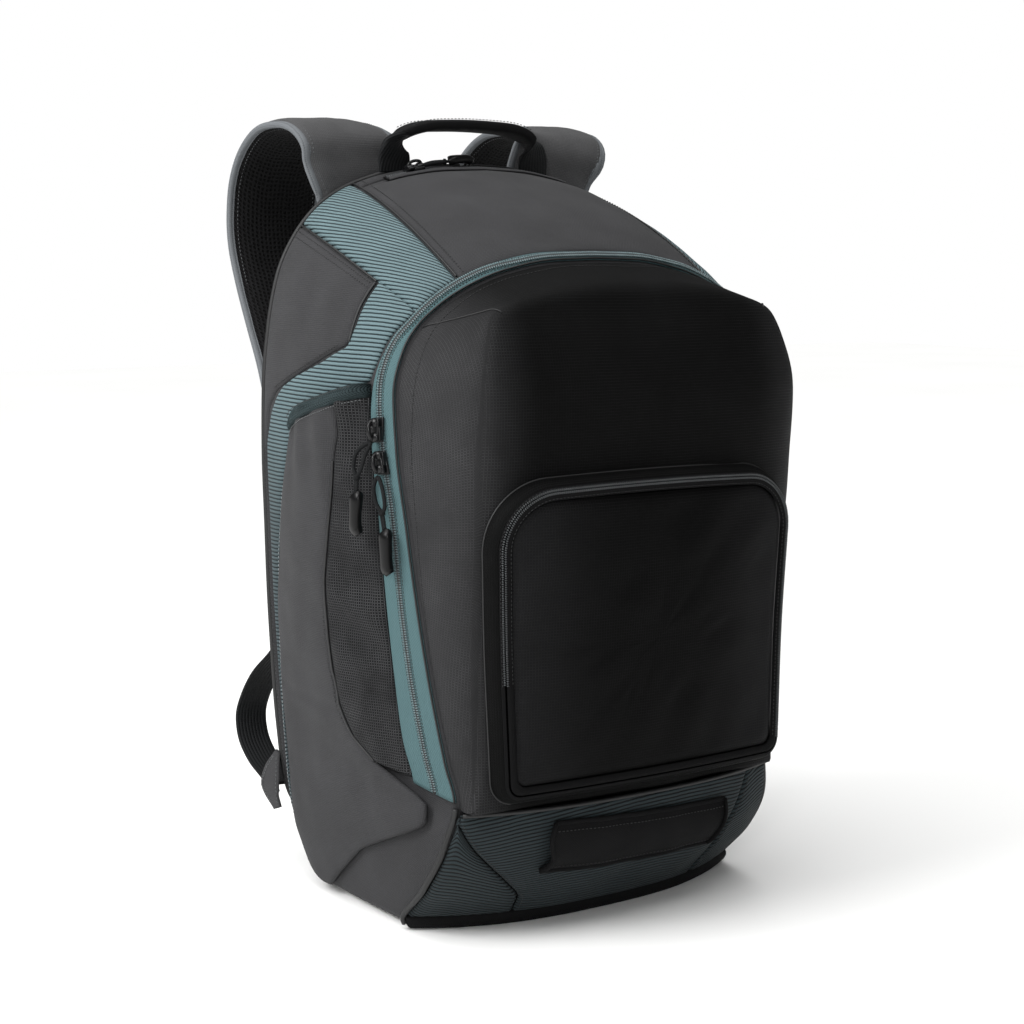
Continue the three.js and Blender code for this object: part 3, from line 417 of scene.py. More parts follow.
def panel(name, side, rows, finish, low=1.0, puff=1.5, soft=5, tuck=1.6, extra=None, nodes=(),
          seed=1):
    """Sewn cloth panel on the side wall; rows hold station, first and last share across."""
    first, last = curve_through(rows, 0, 1, True), curve_through(rows, 0, 2, True)
    s = mix(rows[0][0], rows[-1][0], spread(200, 0.3))
    length = travelled(wall(side * (1 - s), (first(s) + last(s)) / 2), 0)[-1]
    s = mix(rows[0][0], rows[-1][0], spread(max(6, int(length / PANEL_MESH)), 0.3))[:, None]
    q = side * (1 - s)
    widest = travelled(wall(q, mix(first(s), last(s), np.linspace(0, 1, 20))), 1)[:, -1].max()
    v = mix(first(s), last(s), spread(max(5, int(widest / PANEL_MESH)), 0.5))
    points = wall(q, v)
    d = from_edges(points)
    height = sewn(d, low, puff, soft, tuck) + rumple(points, 46, 0.35, seed) * (1 - np.exp(-d / 9))
    if extra is not None:
        height = height + extra(s, v, d, points)
    laid(name, lifted(wall, q, v, height), cut_place(q, v), finish, thick=0.9, nodes=nodes)


def catmull(points, count):
    """Centripetal curve through the points, at count + 1 places."""
    p = np.array(points, float)
    p = np.concatenate([[2 * p[0] - p[1]], p, [2 * p[-1] - p[-2]]])
    t = np.linspace(0, len(p) - 3, count + 1)
    i = np.minimum(t.astype(int), len(p) - 4)
    u = (t - i)[:, None]
    a, b, c, d = p[i], p[i + 1], p[i + 2], p[i + 3]
    ab, bc, cd = [np.linalg.norm(n - m, axis=1, keepdims=True) ** 0.5 for m, n in ((a, b), (b, c), (c, d))]
    t1 = ((b - a) / ab - (c - a) / (ab + bc) + (c - b) / bc) * bc
    t2 = ((c - b) / bc - (d - b) / (bc + cd) + (d - c) / cd) * bc
    return ((2 * u**3 - 3 * u**2 + 1) * b + (u**3 - 2 * u**2 + u) * t1
            + (3 * u**2 - 2 * u**3) * c + (u**3 - u**2) * t2)


def along_path(path, width_way):
    """Directions at each point of a path: across and up."""
    forward = unit(np.gradient(path, axis=0))
    across = unit(width_way - forward * np.sum(width_way * forward, -1, keepdims=True))
    return across, np.cross(forward, across)


def strip(name, path, width_way, section, finish, nodes=()):
    """A strap along a path; section(i) gives its outline as [across, up] pairs, run right round."""
    across, up = along_path(path, width_way)
    run = travelled(path, 0)
    loops, cut = [], []
    for i, spot in enumerate(path):
        around = np.concatenate([section(i), section(i)[:1]])
        loops.append(spot + across[i] * around[:, :1] + up[i] * around[:, 1:])
        cut.append(stack(travelled(around, 0), run[i]))
    ends = []
    for loop in (loops[0], loops[-1]):
        middle = np.mean(loop[:-1], 0)
        ends.append([np.broadcast_to(middle, loop.shape), mix(loop, middle, 0.5)])
    loops = [*ends[0], *loops, *ends[1][::-1]]
    cut = [cut[0]] * 2 + cut + [cut[-1]] * 2
    return laid(name, np.array(loops), np.array(cut), finish, joined=True, closed=True, nodes=nodes)


def rounded(width, thick, count=24, edge=0.35, power=4.0):
    """Flat outline with soft ends: out along the top, back along the bottom."""
    t = np.linspace(-1, 1, count // 2 + 1)
    a = np.sin(t * np.pi / 2)
    rise = edge + (1 - edge) * np.maximum(0, 1 - np.abs(a) ** power) ** 0.5
    top = stack(a * width / 2, rise * thick / 2)
    return np.concatenate([top, (top * [1, -1])[::-1]])


def tube(name, path, radius, finish, sides=8, flat=1.0):
    """Cord or piping: a round section along a path of points in mm, its ends closed."""
    path = np.array(path, float)
    ways = np.zeros_like(path)
    way = np.array([0.31, 0.27, 0.91])
    for i, ahead in enumerate(unit(np.gradient(path, axis=0))):
        way = unit(way - ahead * np.dot(way, ahead))
        ways[i] = way
    angle = np.linspace(0, 2 * np.pi, sides, endpoint=False)
    ring = stack(np.cos(angle), np.sin(angle) * flat) * radius
    return strip(name, path, ways, lambda i: ring, finish)


def join(name, pieces, finish, nodes=()):
    """Several small closed meshes as one piece."""
    bm = bmesh.new()
    for piece in pieces:
        mesh = piece.data
        bm.from_mesh(mesh)
        bpy.data.objects.remove(piece)
        bpy.data.meshes.remove(mesh)
    return from_bmesh(bm, name, finish, nodes)


def beads(name, places, finish, nodes=(), segments=5):
    """One small rounded bead for each place, a 4x4 matrix in mm; used for stitches and coil teeth."""
    bm = bmesh.new()
    bmesh.ops.create_uvsphere(bm, u_segments=segments, v_segments=4, radius=1)
    one = to_mesh(bm, name + "_one")
    shape = np.pad(places_of(one), ((0, 0), (0, 1)), constant_values=1)
    bm = bmesh.new()
    for _ in places:
        bm.from_mesh(one)
    mesh = to_mesh(bm, name)
    bpy.data.meshes.remove(one)
    moved = np.einsum("nij,kj->nki", places, shape)[..., :3] * MM
    mesh.vertices.foreach_set("co", moved.ravel())
    return finished(name, mesh, finish, nodes)


def bead_places(points, ahead, out, sizes):
    """Matrices with their X along the row and their Z outwards."""
    x = unit(ahead)
    y = unit(np.cross(out, x))
    z = np.cross(x, y)
    places = np.tile(np.eye(4), (len(points), 1, 1))
    for k, (way, size) in enumerate(zip((x, y, z), sizes)):
        places[:, :3, k] = way * size
    places[:, :3, 3] = points
    return places


def read_along(run, values, where):
    """Each column of the values, read at places along their run."""
    return np.stack([np.interp(where, run, values[:, k]) for k in range(3)], -1)


def stitches(name, points, finish, long=2.1, pitch=3.0, high=0.34):
    """A row of sewn stitches along points in mm."""
    run = travelled(points, 0)
    at = np.arange(pitch / 2, run[-1], pitch)
    place = read_along(run, points, at)
    ahead = read_along(run, points, np.minimum(at + 0.5, run[-1])) - read_along(run, points, at - 0.5)
    return beads(name, bead_places(place, ahead, place - MIDDLE, (long / 2, high, high)), finish)


def settle(piece, hold, pressure, cap):
    """Cloth simulation that fills a padded piece; hold (0 to 1) keeps a point in its place."""
    mesh = piece.data
    rest = places_of(mesh)
    group = piece.vertex_groups.new(name="sewn")
    weights = np.round(np.clip(hold(rest * 1000), 0, 1), 2)
    for weight in np.unique(weights):
        if weight > 0:
            group.add([int(k) for k in np.nonzero(weights == weight)[0]], float(weight), "REPLACE")
    others = [other for other in piece.modifiers if other.show_viewport]
    for other in others:
        other.show_viewport = False
    cloth = piece.modifiers.new("fill", "CLOTH")
    for setting, value in {
            "quality": 6, "mass": 0.3, "tension_stiffness": 12, "compression_stiffness": 12,
            "shear_stiffness": 6, "bending_stiffness": 0.8, "use_pressure": True,
            "uniform_pressure_force": pressure, "vertex_group_mass": group.name}.items():
        setattr(cloth.settings, setting, value)
    cloth.settings.effector_weights.gravity = 0
    cloth.point_cache.frame_start, cloth.point_cache.frame_end = 1, SETTLE_FRAMES
    scene = bpy.context.scene
    for number in range(1, SETTLE_FRAMES + 1):
        scene.frame_set(number)
    shaped = piece.evaluated_get(bpy.context.evaluated_depsgraph_get())
    move = places_of(shaped.to_mesh()) - rest
    shaped.to_mesh_clear()
    size = np.linalg.norm(move, axis=1, keepdims=True)
    move *= np.minimum(1, cap * MM / np.maximum(size, 1e-9))
    piece.modifiers.remove(cloth)
    for other in others:
        other.show_viewport = True
    piece.vertex_groups.remove(group)
    mesh.vertices.foreach_set("co", (rest + move).ravel())
    mesh.update()
    scene.frame_set(1)
    print("settled", piece.name, "by", round(float(size.mean()) * 1000, 2), "mm on average")


# Materials.
def colour(code):
    """sRGB hex to linear RGBA."""
    parts = [int(code[k:k + 2], 16) / 255 for k in (1, 3, 5)]
    return [*(c / 12.92 if c <= 0.04045 else ((c + 0.055) / 1.055) ** 2.4 for c in parts), 1]


def node(tree, kind, sockets=None, **settings):
    """Adds a shader node, gives it its settings, and sets or links its inputs."""
    made = tree.nodes.new("ShaderNode" + kind)
    for name, value in settings.items():
        setattr(made, name, value)
    for name, value in (sockets or {}).items():
        if isinstance(value, bpy.types.NodeSocket):
            tree.links.new(value, made.inputs[name])
        else:
            made.inputs[name].default_value = value
    return made


def surface_of(name, roughness, **sockets):
    """A new material with its uniform values on the shader's own sockets."""
    material = bpy.data.materials.new(name)
    material.use_nodes = True
    shader = material.node_tree.nodes["Principled BSDF"]
    shader.inputs["Roughness"].default_value = roughness
    for socket, value in sockets.items():
        shader.inputs[socket.replace("_", " ")].default_value = value
    return material, material.node_tree, shader


def ramp_between(tree, factor, stops):
    made = node(tree, "ValToRGB", {"Fac": factor})
    ramp = made.color_ramp
    while len(ramp.elements) < len(stops):
        ramp.elements.new(0.5)
    for element, (place, code) in zip(ramp.elements, stops):
        element.position = place
        element.color = colour(code)
    return made.outputs["Color"]


def cut_threads(tree, across_mm, along_mm, turn=0.0):
    """The piece's flat cut, scaled so that one unit is one thread or rib each way."""
    cut = node(tree, "UVMap", uv_map="cut")
    place = node(tree, "Mapping", {"Vector": cut.outputs["UV"], "Scale": (1000 / across_mm, 1000 / along_mm, 1),
                                   "Rotation": (0, 0, turn)})
    split = node(tree, "SeparateXYZ", {"Vector": place.outputs["Vector"]})
    return place.outputs["Vector"], split.outputs["X"], split.outputs["Y"]


def maths(tree, operation, *values):
    """Output of a Math node of that operation on the values."""
    return node(tree, "Math", dict(enumerate(values)), operation=operation).outputs[0]


def wave_of(tree, value, power=1.0):
    """A rounded ridge for each whole unit of value, from 0 in the groove to 1 on top."""
    wave = maths(tree, "SINE", maths(tree, "MULTIPLY", value, math.pi))
    return maths(tree, "POWER", maths(tree, "ABSOLUTE", wave), power)


def painted(surface, paint, height, bump):
    """Gives a surface its paint and a relief so many millimetres high, and returns the material."""
    material, tree, shader = surface
    relief = node(tree, "Bump", {"Height": height, "Strength": 1.0, "Distance": bump * MM})
    tree.links.new(paint, shader.inputs["Base Color"])
    tree.links.new(relief.outputs["Normal"], shader.inputs["Normal"])
    return material


def place_of(tree, axis):
    """One coordinate of the place in the bag's frame, in metres."""
    where = node(tree, "TexCoord").outputs["Object"]
    return node(tree, "SeparateXYZ", {"Vector": where}).outputs[axis]


def ranged(tree, value, sockets, **settings):
    return node(tree, "MapRange", {"Value": value, **sockets}, **settings).outputs["Result"]


def mottled(tree, size_mm, detail=3.0, rough=0.6):
    """Object-space noise whose patches are about size_mm across."""
    where = node(tree, "TexCoord")
    made = node(tree, "TexNoise", {"Vector": where.outputs["Object"], "Scale": 1000 / size_mm,
                                   "Detail": detail, "Roughness": rough})
    return made.outputs["Fac"]


def mixed(tree, factor, a, b):
    made = node(tree, "Mix", {0: factor}, data_type="RGBA")
    for socket, value in ((made.inputs[6], a), (made.inputs[7], b)):
        if isinstance(value, bpy.types.NodeSocket):
            tree.links.new(value, socket)
        else:
            socket.default_value = colour(value) if isinstance(value, str) else value
    return made.outputs[2]


def plain_weave(name, dark, light):
    """Polyester cloth of crossed threads, drawn a little coarser than it is so that it shows."""
    surface = surface_of(name, 0.82, Sheen_Weight=0.03, Sheen_Roughness=0.5, Specular_IOR_Level=0.2)
    tree = surface[1]
    _, x, y = cut_threads(tree, 1.3, 1.3)
    weave = maths(tree, "MULTIPLY", wave_of(tree, x), wave_of(tree, y))
    fibres = mottled(tree, 1.1, 2.0, 0.7)
    tone = maths(tree, "MULTIPLY", weave, 0.35)
    tone = maths(tree, "MULTIPLY_ADD", mottled(tree, 38), 0.45, tone)
    tone = maths(tree, "MULTIPLY_ADD", fibres, 0.4, tone)
    paint = ramp_between(tree, tone, [(0.28, dark), (0.85, light)])
    return painted(surface, paint, maths(tree, "MULTIPLY_ADD", fibres, 0.5, weave), 0.16)


def ripstop(name, ground, thread, sides=None, painted_light_from=0.085, painted_light_to=0.150):
    """Ripstop nylon: a fine dark weave crossed by a square grid of heavier, paler dotted threads.

    With sides, two paler tones that the cloth fades to towards the left and right walls: painted light, a lit
    tone on the side walls against a shaded tone on the face.
    """
    surface = surface_of(name, 0.62, Specular_IOR_Level=0.07)
    tree = surface[1]
    _, x, y = cut_threads(tree, 1.9, 1.9)
    thin = {"From Min": 0.0, "From Max": 0.32, "To Min": 1.0, "To Max": 0.0}
    lines = [ranged(tree, wave_of(tree, value), thin) for value in (x, y)]
    both = maths(tree, "MAXIMUM", *lines)
    dotted = maths(tree, "MULTIPLY", both, wave_of(tree, maths(tree, "ADD", x, y)))
    bright = maths(tree, "MULTIPLY_ADD", maths(tree, "MULTIPLY", *lines), 0.9, dotted)
    tone = maths(tree, "MULTIPLY", mottled(tree, 30), bright)
    paint = ramp_between(tree, tone, [(0.05, ground), (0.75, thread)])
    # Painted light and shade: paler towards both side walls, darker over the face, by place.
    if sides:
        painted_light_fade = ranged(tree, maths(tree, "ABSOLUTE", place_of(tree, "X")),
                      {"From Min": painted_light_from, "From Max": painted_light_to}, interpolation_type="SMOOTHSTEP")
        paint = mixed(tree, painted_light_fade, paint, ramp_between(tree, tone, [(0.05, sides[0]), (0.75, sides[1])]))
    return painted(surface, paint, both, 0.22)


def corded(name, line, shade, rib, low=None):
    """Corded cloth: raised level ribs of slightly mixed yarn with a thin dark line between them.

    With low, the line, shade and rib tones that it darkens to lower down: painted shade, for the light falling
    off towards the base.
    """
    surface = surface_of(name, 0.72, Sheen_Weight=0.03, Sheen_Roughness=0.5, Specular_IOR_Level=0.15)
    tree = surface[1]
    vector, _, y = cut_threads(tree, 1.0, 2.8)
    wander = node(tree, "TexNoise", {"Vector": vector, "Scale": 0.16, "Detail": 2.0}).outputs["Fac"]
    ridge = wave_of(tree, maths(tree, "MULTIPLY_ADD", wander, 0.16, y), 0.6)
    yarn = node(tree, "TexNoise", {"Vector": vector, "Scale": 1.6, "Detail": 3.0, "Roughness": 0.7})
    yarn = yarn.outputs["Fac"]
    broken = maths(tree, "MULTIPLY_ADD", yarn, 0.34, ridge)
    ribs = ramp_between(tree, broken, list(zip((0.46, 0.74, 1.1), (line, shade, rib))))
    # Painted shade: the ribs darken towards the base by height.
    if low:
        up = ranged(tree, place_of(tree, "Z"), {"From Min": 0.24, "From Max": 0.39},
                    interpolation_type="SMOOTHSTEP")
        ribs = mixed(tree, up, ramp_between(tree, broken, list(zip((0.46, 0.74, 1.1), low))), ribs)
    paint = mixed(tree, maths(tree, "MULTIPLY", mottled(tree, 26), 0.35), ribs, shade)
    return painted(surface, paint, maths(tree, "MULTIPLY_ADD", yarn, 0.22, ridge), 0.9)


def tape_weave(name, dark, light, rib_mm, step_mm, roughness=0.75, bump=0.3, turn=0.0):
    """Narrow woven tape or webbing: ribs one way, crossed by fine steps the other way."""
    surface = surface_of(name, roughness, Specular_IOR_Level=0.1)
    tree = surface[1]
    _, x, y = cut_threads(tree, rib_mm, step_mm, turn)
    woven = maths(tree, "MULTIPLY_ADD", wave_of(tree, y, 0.8), 0.4, wave_of(tree, x, 0.8))
    tone = maths(tree, "MULTIPLY_ADD", mottled(tree, 0.9, 2.0, 0.7), 0.6, woven)
    return painted(surface, ramp_between(tree, tone, [(0.35, dark), (1.45, light)]), woven, bump)


def air_mesh():
    """Knitted spacer mesh: a black face with open cells about 3.4 mm apart."""
    surface = surface_of("air_mesh", 0.85, Specular_IOR_Level=0.15)
    tree = surface[1]
    vector, _, _ = cut_threads(tree, 3.4, 3.4)
    cells = node(tree, "TexVoronoi", {"Vector": vector, "Scale": 1.0, "Randomness": 0.16})
    hole = ranged(tree, cells.outputs["Distance"], {"From Min": 0.22, "From Max": 0.40})
    paint = ramp_between(tree, hole, [(0.0, "#020202"), (0.5, "#080808"), (1.0, "#141415")])
    return painted(surface, paint, hole, 1.3)


def moulded(name, base, light, roughness, grain_mm, bump, **sockets):
    """Moulded plastic, rubber or enamel: two near tones with a fine grain and faint handling marks."""
    surface = surface_of(name, roughness, **sockets)
    tree, shader = surface[1:]
    marks = mottled(tree, 9, 4.0, 0.65)
    gloss = ranged(tree, marks, {"To Min": roughness * 0.8, "To Max": roughness * 1.25})
    tree.links.new(gloss, shader.inputs["Roughness"])
    return painted(surface, mixed(tree, marks, base, light), mottled(tree, grain_mm, 2.0), bump)


# Matte polyester canvas: soft grey, no shine, a faint crossed weave and uneven dye; lighter on the straps.
CHARCOAL = plain_weave("charcoal_polyester_canvas", "#232324", "#38383a")
STRAP_CLOTH = plain_weave("padded_strap_canvas", "#363637", "#515152")
# Ripstop nylon: near black with a grid of paler threads, which show most on the sleeve's gusset.
RIPSTOP = ripstop("black_ripstop_nylon", "#040404", "#1e1f20")
# The door's and the pocket's cloth is painted paler towards the side walls: painted light on the walls, painted
# shade on the face.
DOOR_CLOTH = ripstop("moulded_door_ripstop", "#050505", "#252627", sides=("#2d2d2e", "#6c6c6e"))
POCKET_CLOTH = ripstop("front_pocket_ripstop", "#030303", "#18191a", sides=("#161617", "#363637"),
                       painted_light_from=0.03, painted_light_to=0.12)
GUSSET_CLOTH = ripstop("sleeve_gusset_ripstop", "#161617", "#7c7d7f")
# Corded cloth: green-grey ribs with black lines, darkened lower down as painted shade; that of the base is a
# near-black copy of it, painted shade too.
CORDED = corded("corded_yoke_cloth", "#0a0f11", "#2b3a3e", "#667a7e", low=("#07090a", "#1f2729", "#454f52"))
CORDED_SHADED = corded("corded_base_cloth_painted_shade", "#020202", "#0b0e0f", "#2b3437")
# Felt-like green-grey zip tape with a soft diagonal twill, and black twill tape.
TAPE = tape_weave("polyester_zip_tape", "#2f4346", "#4a6265", 1.3, 1.3, bump=0.14, turn=0.7)
BLACK_TAPE = tape_weave("black_twill_tape", "#030303", "#0f0f10", 1.2, 1.2, bump=0.2, turn=0.6)
# Nylon coil teeth, slightly glossy: green-grey ones in the main zip, black ones in the small zips; their paler
# tone is partly the nylon's own and partly painted highlight for the glints along the coil.
TEETH = moulded("dark_nylon_coil_painted_glints", "#2b383b", "#6d7f82", 0.42, 1.5, 0.05)
DARK_TEETH = moulded("black_nylon_coil_painted_glints", "#1f2122", "#4b4e50", 0.34, 1.5, 0.05)
# Ribbed knit elastic round the sleeve's mouth, grosgrain round the straps, and black webbing.
KNIT = tape_weave("ribbed_knit_elastic", "#05090a", "#303a3c", 2.6, 1.7, roughness=0.9, bump=0.8)
GROSGRAIN = tape_weave("grey_grosgrain_binding", "#3a3d3f", "#676a6d", 4.0, 1.5, bump=0.28)
WEBBING = tape_weave("black_nylon_webbing", "#050506", "#1a1b1c", 2.6, 1.4, roughness=0.6, bump=0.35)
# Smooth cord piping, spacer mesh, braided cord and sewing threads.
PIPING = moulded("black_piping_cord", "#09090a", "#151617", 0.55, 0.9, 0.12)
MESH = air_mesh()
CORD = tape_weave("braided_pull_cord", "#060606", "#1a1b1c", 1.2, 1.2, roughness=0.7, bump=0.25, turn=0.78)
PALE_THREAD = moulded("pale_polyester_thread", "#6a7072", "#828789", 0.6, 0.6, 0.05)
DARK_THREAD = moulded("dark_polyester_thread", "#121213", "#1f2021", 0.6, 0.6, 0.05)
GREY_THREAD = moulded("grey_polyester_thread", "#4b4e4f", "#5c5f60", 0.6, 0.6, 0.05)
# Satin acetal buckles, glossy rubber ends and enamelled zinc sliders.
ACETAL = moulded("black_acetal", "#0c0c0d", "#151516", 0.42, 0.7, 0.05)
RUBBER = moulded("moulded_black_rubber", "#060606", "#0d0d0e", 0.3, 1.4, 0.04, Specular_IOR_Level=0.16)
ENAMEL = moulded("black_enamelled_zinc", "#0d0d0e", "#131415", 0.32, 2.0, 0.03, Specular_IOR_Level=0.22,
                 Coat_Weight=0.12, Coat_Roughness=0.15)


# The body.
NAMES = {-1: "left", 1: "right"}


def body_shell():
    """Inner shell of the whole bag, which the sewn panels lie on, closed to a point at its back and front."""
    q = np.linspace(-1, 1, 200)
    back = wall(q, 0.0)
    rows = [stack(back[:, 0] * share, back[:, 1] - 0.3 - 1.2 * (share > 0.95),
                  mix(0.545 * HEIGHT, back[:, 2], share))
            for share in (0, 0.35, 0.7, 0.9, 0.975)]
    rows += [lifted(wall, q, v, -0.25) for v in np.linspace(0.008, 1, 34)]
    pole = np.array([0, -60, FACE_MIDDLE])
    rows += [mix(pole, rows[-1], share) for share in (0.9, 0.5, 0)]
    points = np.array(rows)
    laid("body_shell", points, stack(travelled(points, 1), travelled(points, 0)), CHARCOAL, joined=True,
         closed=True, nodes=["main_shell"])


def sleeve_rise(s, v):
    """Height of the bat sleeve's cloth off the wall, highest along its middle seam."""
    back, seam, front, bulge = [f(s) for f in sleeve_columns]
    t = np.where(v < seam, (v - back) / np.maximum(seam - back, 1e-3),
                 (front - v) / np.maximum(front - seam, 1e-3))
    return bulge * SLEEVE_BULGE * np.sin(np.clip(t, 0, 1) * np.pi / 2) ** 0.9


def sleeve_seam(s):
    """Line of the seam between the sleeve's outer panel and its gusset."""
    forward = (0.062 + 0.045 * smooth((s - 0.45) / 0.13)) * smooth((s - 0.33) / 0.06)
    return sleeve_columns[1](np.minimum(s, 0.6)) + forward


SHOULDER = [[0.20, 0.004, 0.034], [0.55, 0.004, 0.034], [0.585, 0.004, 0.060], [0.605, 0.004, 0.140],
            [0.684, 0.004, 0.685], [0.690, 0.004, 0.700], [0.762, 0.004, 0.708]]
YOKE_SIDE = [[r[0], 0.036 if r[0] < 0.56 else r[1], r[2]] for r in YOKE]


def side_panels(side):
    name = NAMES[side]
    panel("shoulder_panel_" + name, side, SHOULDER, CHARCOAL, seed=3)
    panel("yoke_strip_" + name, side, YOKE_SIDE + [[0.766, 0.706, 0.905]], CORDED, soft=4, seed=4,
          nodes=["yoke_side_" + name])
    panel("yoke_band_" + name, side, BAND, CORDED, puff=1.7, soft=4, seed=5,
          nodes=["yoke_band_" + name])


def sleeve(side):
    """Bat sleeve: canvas outer panel and ripstop gusset, swelling to the seam between them."""
    name = NAMES[side]
    rows = [row[0] for row in SLEEVE if row[0] != 0.661] + [0.215, 0.60, 0.634]

    def held(s, v):
        return float(np.maximum(v, mouth_back(s)) if s > 0.583 else v)

    outer = [[s, held(s, sleeve_columns[0](s)), float(sleeve_seam(s)) + 0.002]
             for s in sorted(rows) if s < 0.63]
    outer.append([0.637, 0.712, 0.722])
    inner = [[s, held(s, sleeve_seam(s)), float(sleeve_columns[2](s))] for s in sorted(rows) if s > 0.315]
    inner.append([0.652, float(mouth_back(0.652)), 0.862])

    def outer_rise(s, v, d, points):
        tug = 1.4 * np.sin(v * 34 + s * 9) * np.exp(-((s - 0.585) / 0.035) ** 2)
        crease = -1.3 * np.exp(-((s - 0.335 - 0.05 * v) / 0.007) ** 2) * smooth(d / 6)
        return sleeve_rise(s, v) + (tug + crease) * smooth(d / 8) + rumple(points, 70, 0.5, 12)

    panel("sleeve_panel_" + name, side, outer, CHARCOAL, low=1.6, puff=1.2, soft=3, tuck=1.4, extra=outer_rise,
          nodes=["sleeve_panel_" + name], seed=6)

    def inner_rise(s, v, d, points):
        slack = 1.1 * np.sin(s * 115 + v * 7) * smooth(d / 10) * smooth((s - 0.36) / 0.08)
        tug = 1.5 * np.sin(v * 46 - s * 12) * np.exp(-((s - 0.625) / 0.04) ** 2) * smooth(d / 6)
        return sleeve_rise(s, v) + slack + tug + rumple(points, 34, 0.7, 13) * smooth(d / 8)

    panel("sleeve_gusset_" + name, side, inner, GUSSET_CLOTH, low=1.5, puff=1.1, soft=3, tuck=1.3,
          extra=inner_rise, nodes=["sleeve_gusset_" + name], seed=7)

    # Knit binding along the slanted mouth, fuller in its middle and tapering to the back end.
    v = np.linspace(0.292, 0.862, 90)[:, None]
    t = np.linspace(0, 1, 13)
    s = mouth_line(v) + mix(0.0085, 0.0145, smooth((v - 0.29) / 0.12)) * (t - 0.62)
    run = travelled(wall(side * (1 - mouth_line(v[:, 0])), v[:, 0]), 0)
    ripple = 0.25 * np.sin(run * 2 * np.pi / 2.2)[:, None]
    height = 1.9 + sleeve_rise(s, v) + (3.0 + ripple) * np.sin(np.pi * t) ** 0.55
    height[0] = height[-1] = 1.0
    points = lifted(wall, side * (1 - s), v, height)
    laid("sleeve_binding_" + name, points, stack(travelled(points, 0), travelled(points, 1)), KNIT, thick=1.6,
         nodes=["sleeve_binding_" + name])
    v = v[4:-3, 0]
    for end, share, lift, finish in (("low", -0.75, 3.4, GREY_THREAD), ("top", 0.2, 5.6, DARK_THREAD)):
        s = mouth_line(v) + share * 0.0145
        line = lifted(wall, side * (1 - s), v, lift + sleeve_rise(s, v))
        stitches(f"mouth_stitch_{name}_{end}", line, finish, long=1.8, pitch=2.6)


def top_panels():
    """Canvas top between the two corded bands, with the small pocket's zip across it."""
    q = mix(-0.171, 0.171, spread(96, 0.2))[:, None]
    for name, low, high, count, seed in (("top_panel_rear", 0.006, 0.085, 12, 21),
                                         ("top_panel_front", 0.135, 0.95, 60, 22)):
        v = mix(low, high, spread(count, 0.4))
        points = wall(q, v)
        d = from_edges(points)
        height = sewn(d, 1.0, 1.6, 5, 1.6) + rumple(points, 60, 0.6, seed) * smooth(d / 12)
        laid(name, lifted(wall, q, v, height), cut_place(q, v), CHARCOAL, thick=0.9)


def top_zip():
    q = np.linspace(-0.14, 0.14, 120)
    t = np.linspace(0, 1, 9)
    for name, low, high, lift, finish in (("top_zip_tape", 0.07, 0.15, 1.5, BLACK_TAPE),
                                          ("top_zip_flap", 0.118, 0.158, 3.0, CHARCOAL)):
        v = mix(low, high, t)
        points = lifted(wall, q[:, None], v, lift + 0.8 * np.sin(np.pi * t))
        laid(name, points, cut_place(q[:, None], v), finish, thick=1.0)
    middle = lifted(wall, q, 0.107, 2.6)
    coil("top_zip_coil", middle, lifted(wall, q, 0.12, 2.6) - middle, lifted(wall, q, 0.107, 3.6) - middle,
         DARK_TEETH, nodes=["top_zip"], gap=0.9)


def coil(name, path, across, up, finish, nodes=(), gap=1.5, pitch=1.65, size=(0.6, 1.35, 0.8)):
    """Two rows of meshed coil teeth along a path, each tooth a small rounded bead."""
    run = travelled(path, 0)
    places = []
    for hand in (-1, 1):
        at = np.arange(pitch, run[-1] - pitch, pitch) + (pitch / 2 if hand > 0 else 0)
        ahead = read_along(run, path, at + 0.5) - read_along(run, path, at - 0.5)
        spots = read_along(run, path, at) + unit(read_along(run, across, at)) * hand * gap
        places.append(bead_places(spots, ahead, read_along(run, up, at), size))
    return beads(name, np.concatenate(places), finish, nodes, segments=6)


# Main zip.
def round_the_arch(low, count):
    """Stations up the left, over the top and down the right, and the hand of each (-1 left, 1 right)."""
    up = np.linspace(low, 1, count)
    return np.concatenate([up, up[-2::-1]]), np.repeat([-1.0, 1.0], [count, count - 1])


def main_zip():
    s, hand = round_the_arch(0.315, 150)
    q = hand * (1 - s)
    middle = coil_line(s)
    reach = travelled(np.stack([wall(q, middle - 0.02), wall(q, middle + 0.02)]), 0)[-1] / 0.04
    for end, low, high in (("rear", tape_edge(s) - 0.014, middle - 0.6 / reach),
                           ("front", middle + 0.6 / reach, np.full_like(s, 0.992))):
        v = mix(low[:, None], high[:, None], spread(10, 0.4))
        points = wall(q[:, None], v)
        across = travelled(points, 1)
        border = across if end == "rear" else across[:, -1:] - across
        height = 1.3 + 1.0 * (1 - np.exp(-border / 2.5)) - 0.7 * np.exp(-border / 0.8)
        laid("main_zip_tape_" + end, lifted(wall, q[:, None], v, height), stack(across, travelled(points, 0)),
             TAPE, thick=1.1, nodes=["main_zip_tape"] if end == "rear" else ())
    path = lifted(wall, q, middle, 2.75)
    coil("main_zip_coil", path, lifted(wall, q, middle + 0.01, 2.75) - path,
         lifted(wall, q, middle, 3.75) - path, TEETH, nodes=["main_zip_coil"])
    # A dark cord under the coil: painted shadow, showing dark between and under the two rows of teeth.
    tube("main_zip_painted_shadow", lifted(wall, q, middle, 0.95), 2.2, PIPING)
    # A dark sewing line each side of the coil, and the piping where the tape meets the door.
    for end, v in (("rear", middle - 3.6 / reach), ("front", middle + 3.6 / reach)):
        stitches("zip_line_" + end, lifted(wall, q, v, 2.35), DARK_THREAD, long=2.2, pitch=2.5, high=0.25)
    tube("door_edge_piping", lifted(wall, q, 0.990, 1.7), 0.75, PIPING, sides=6)


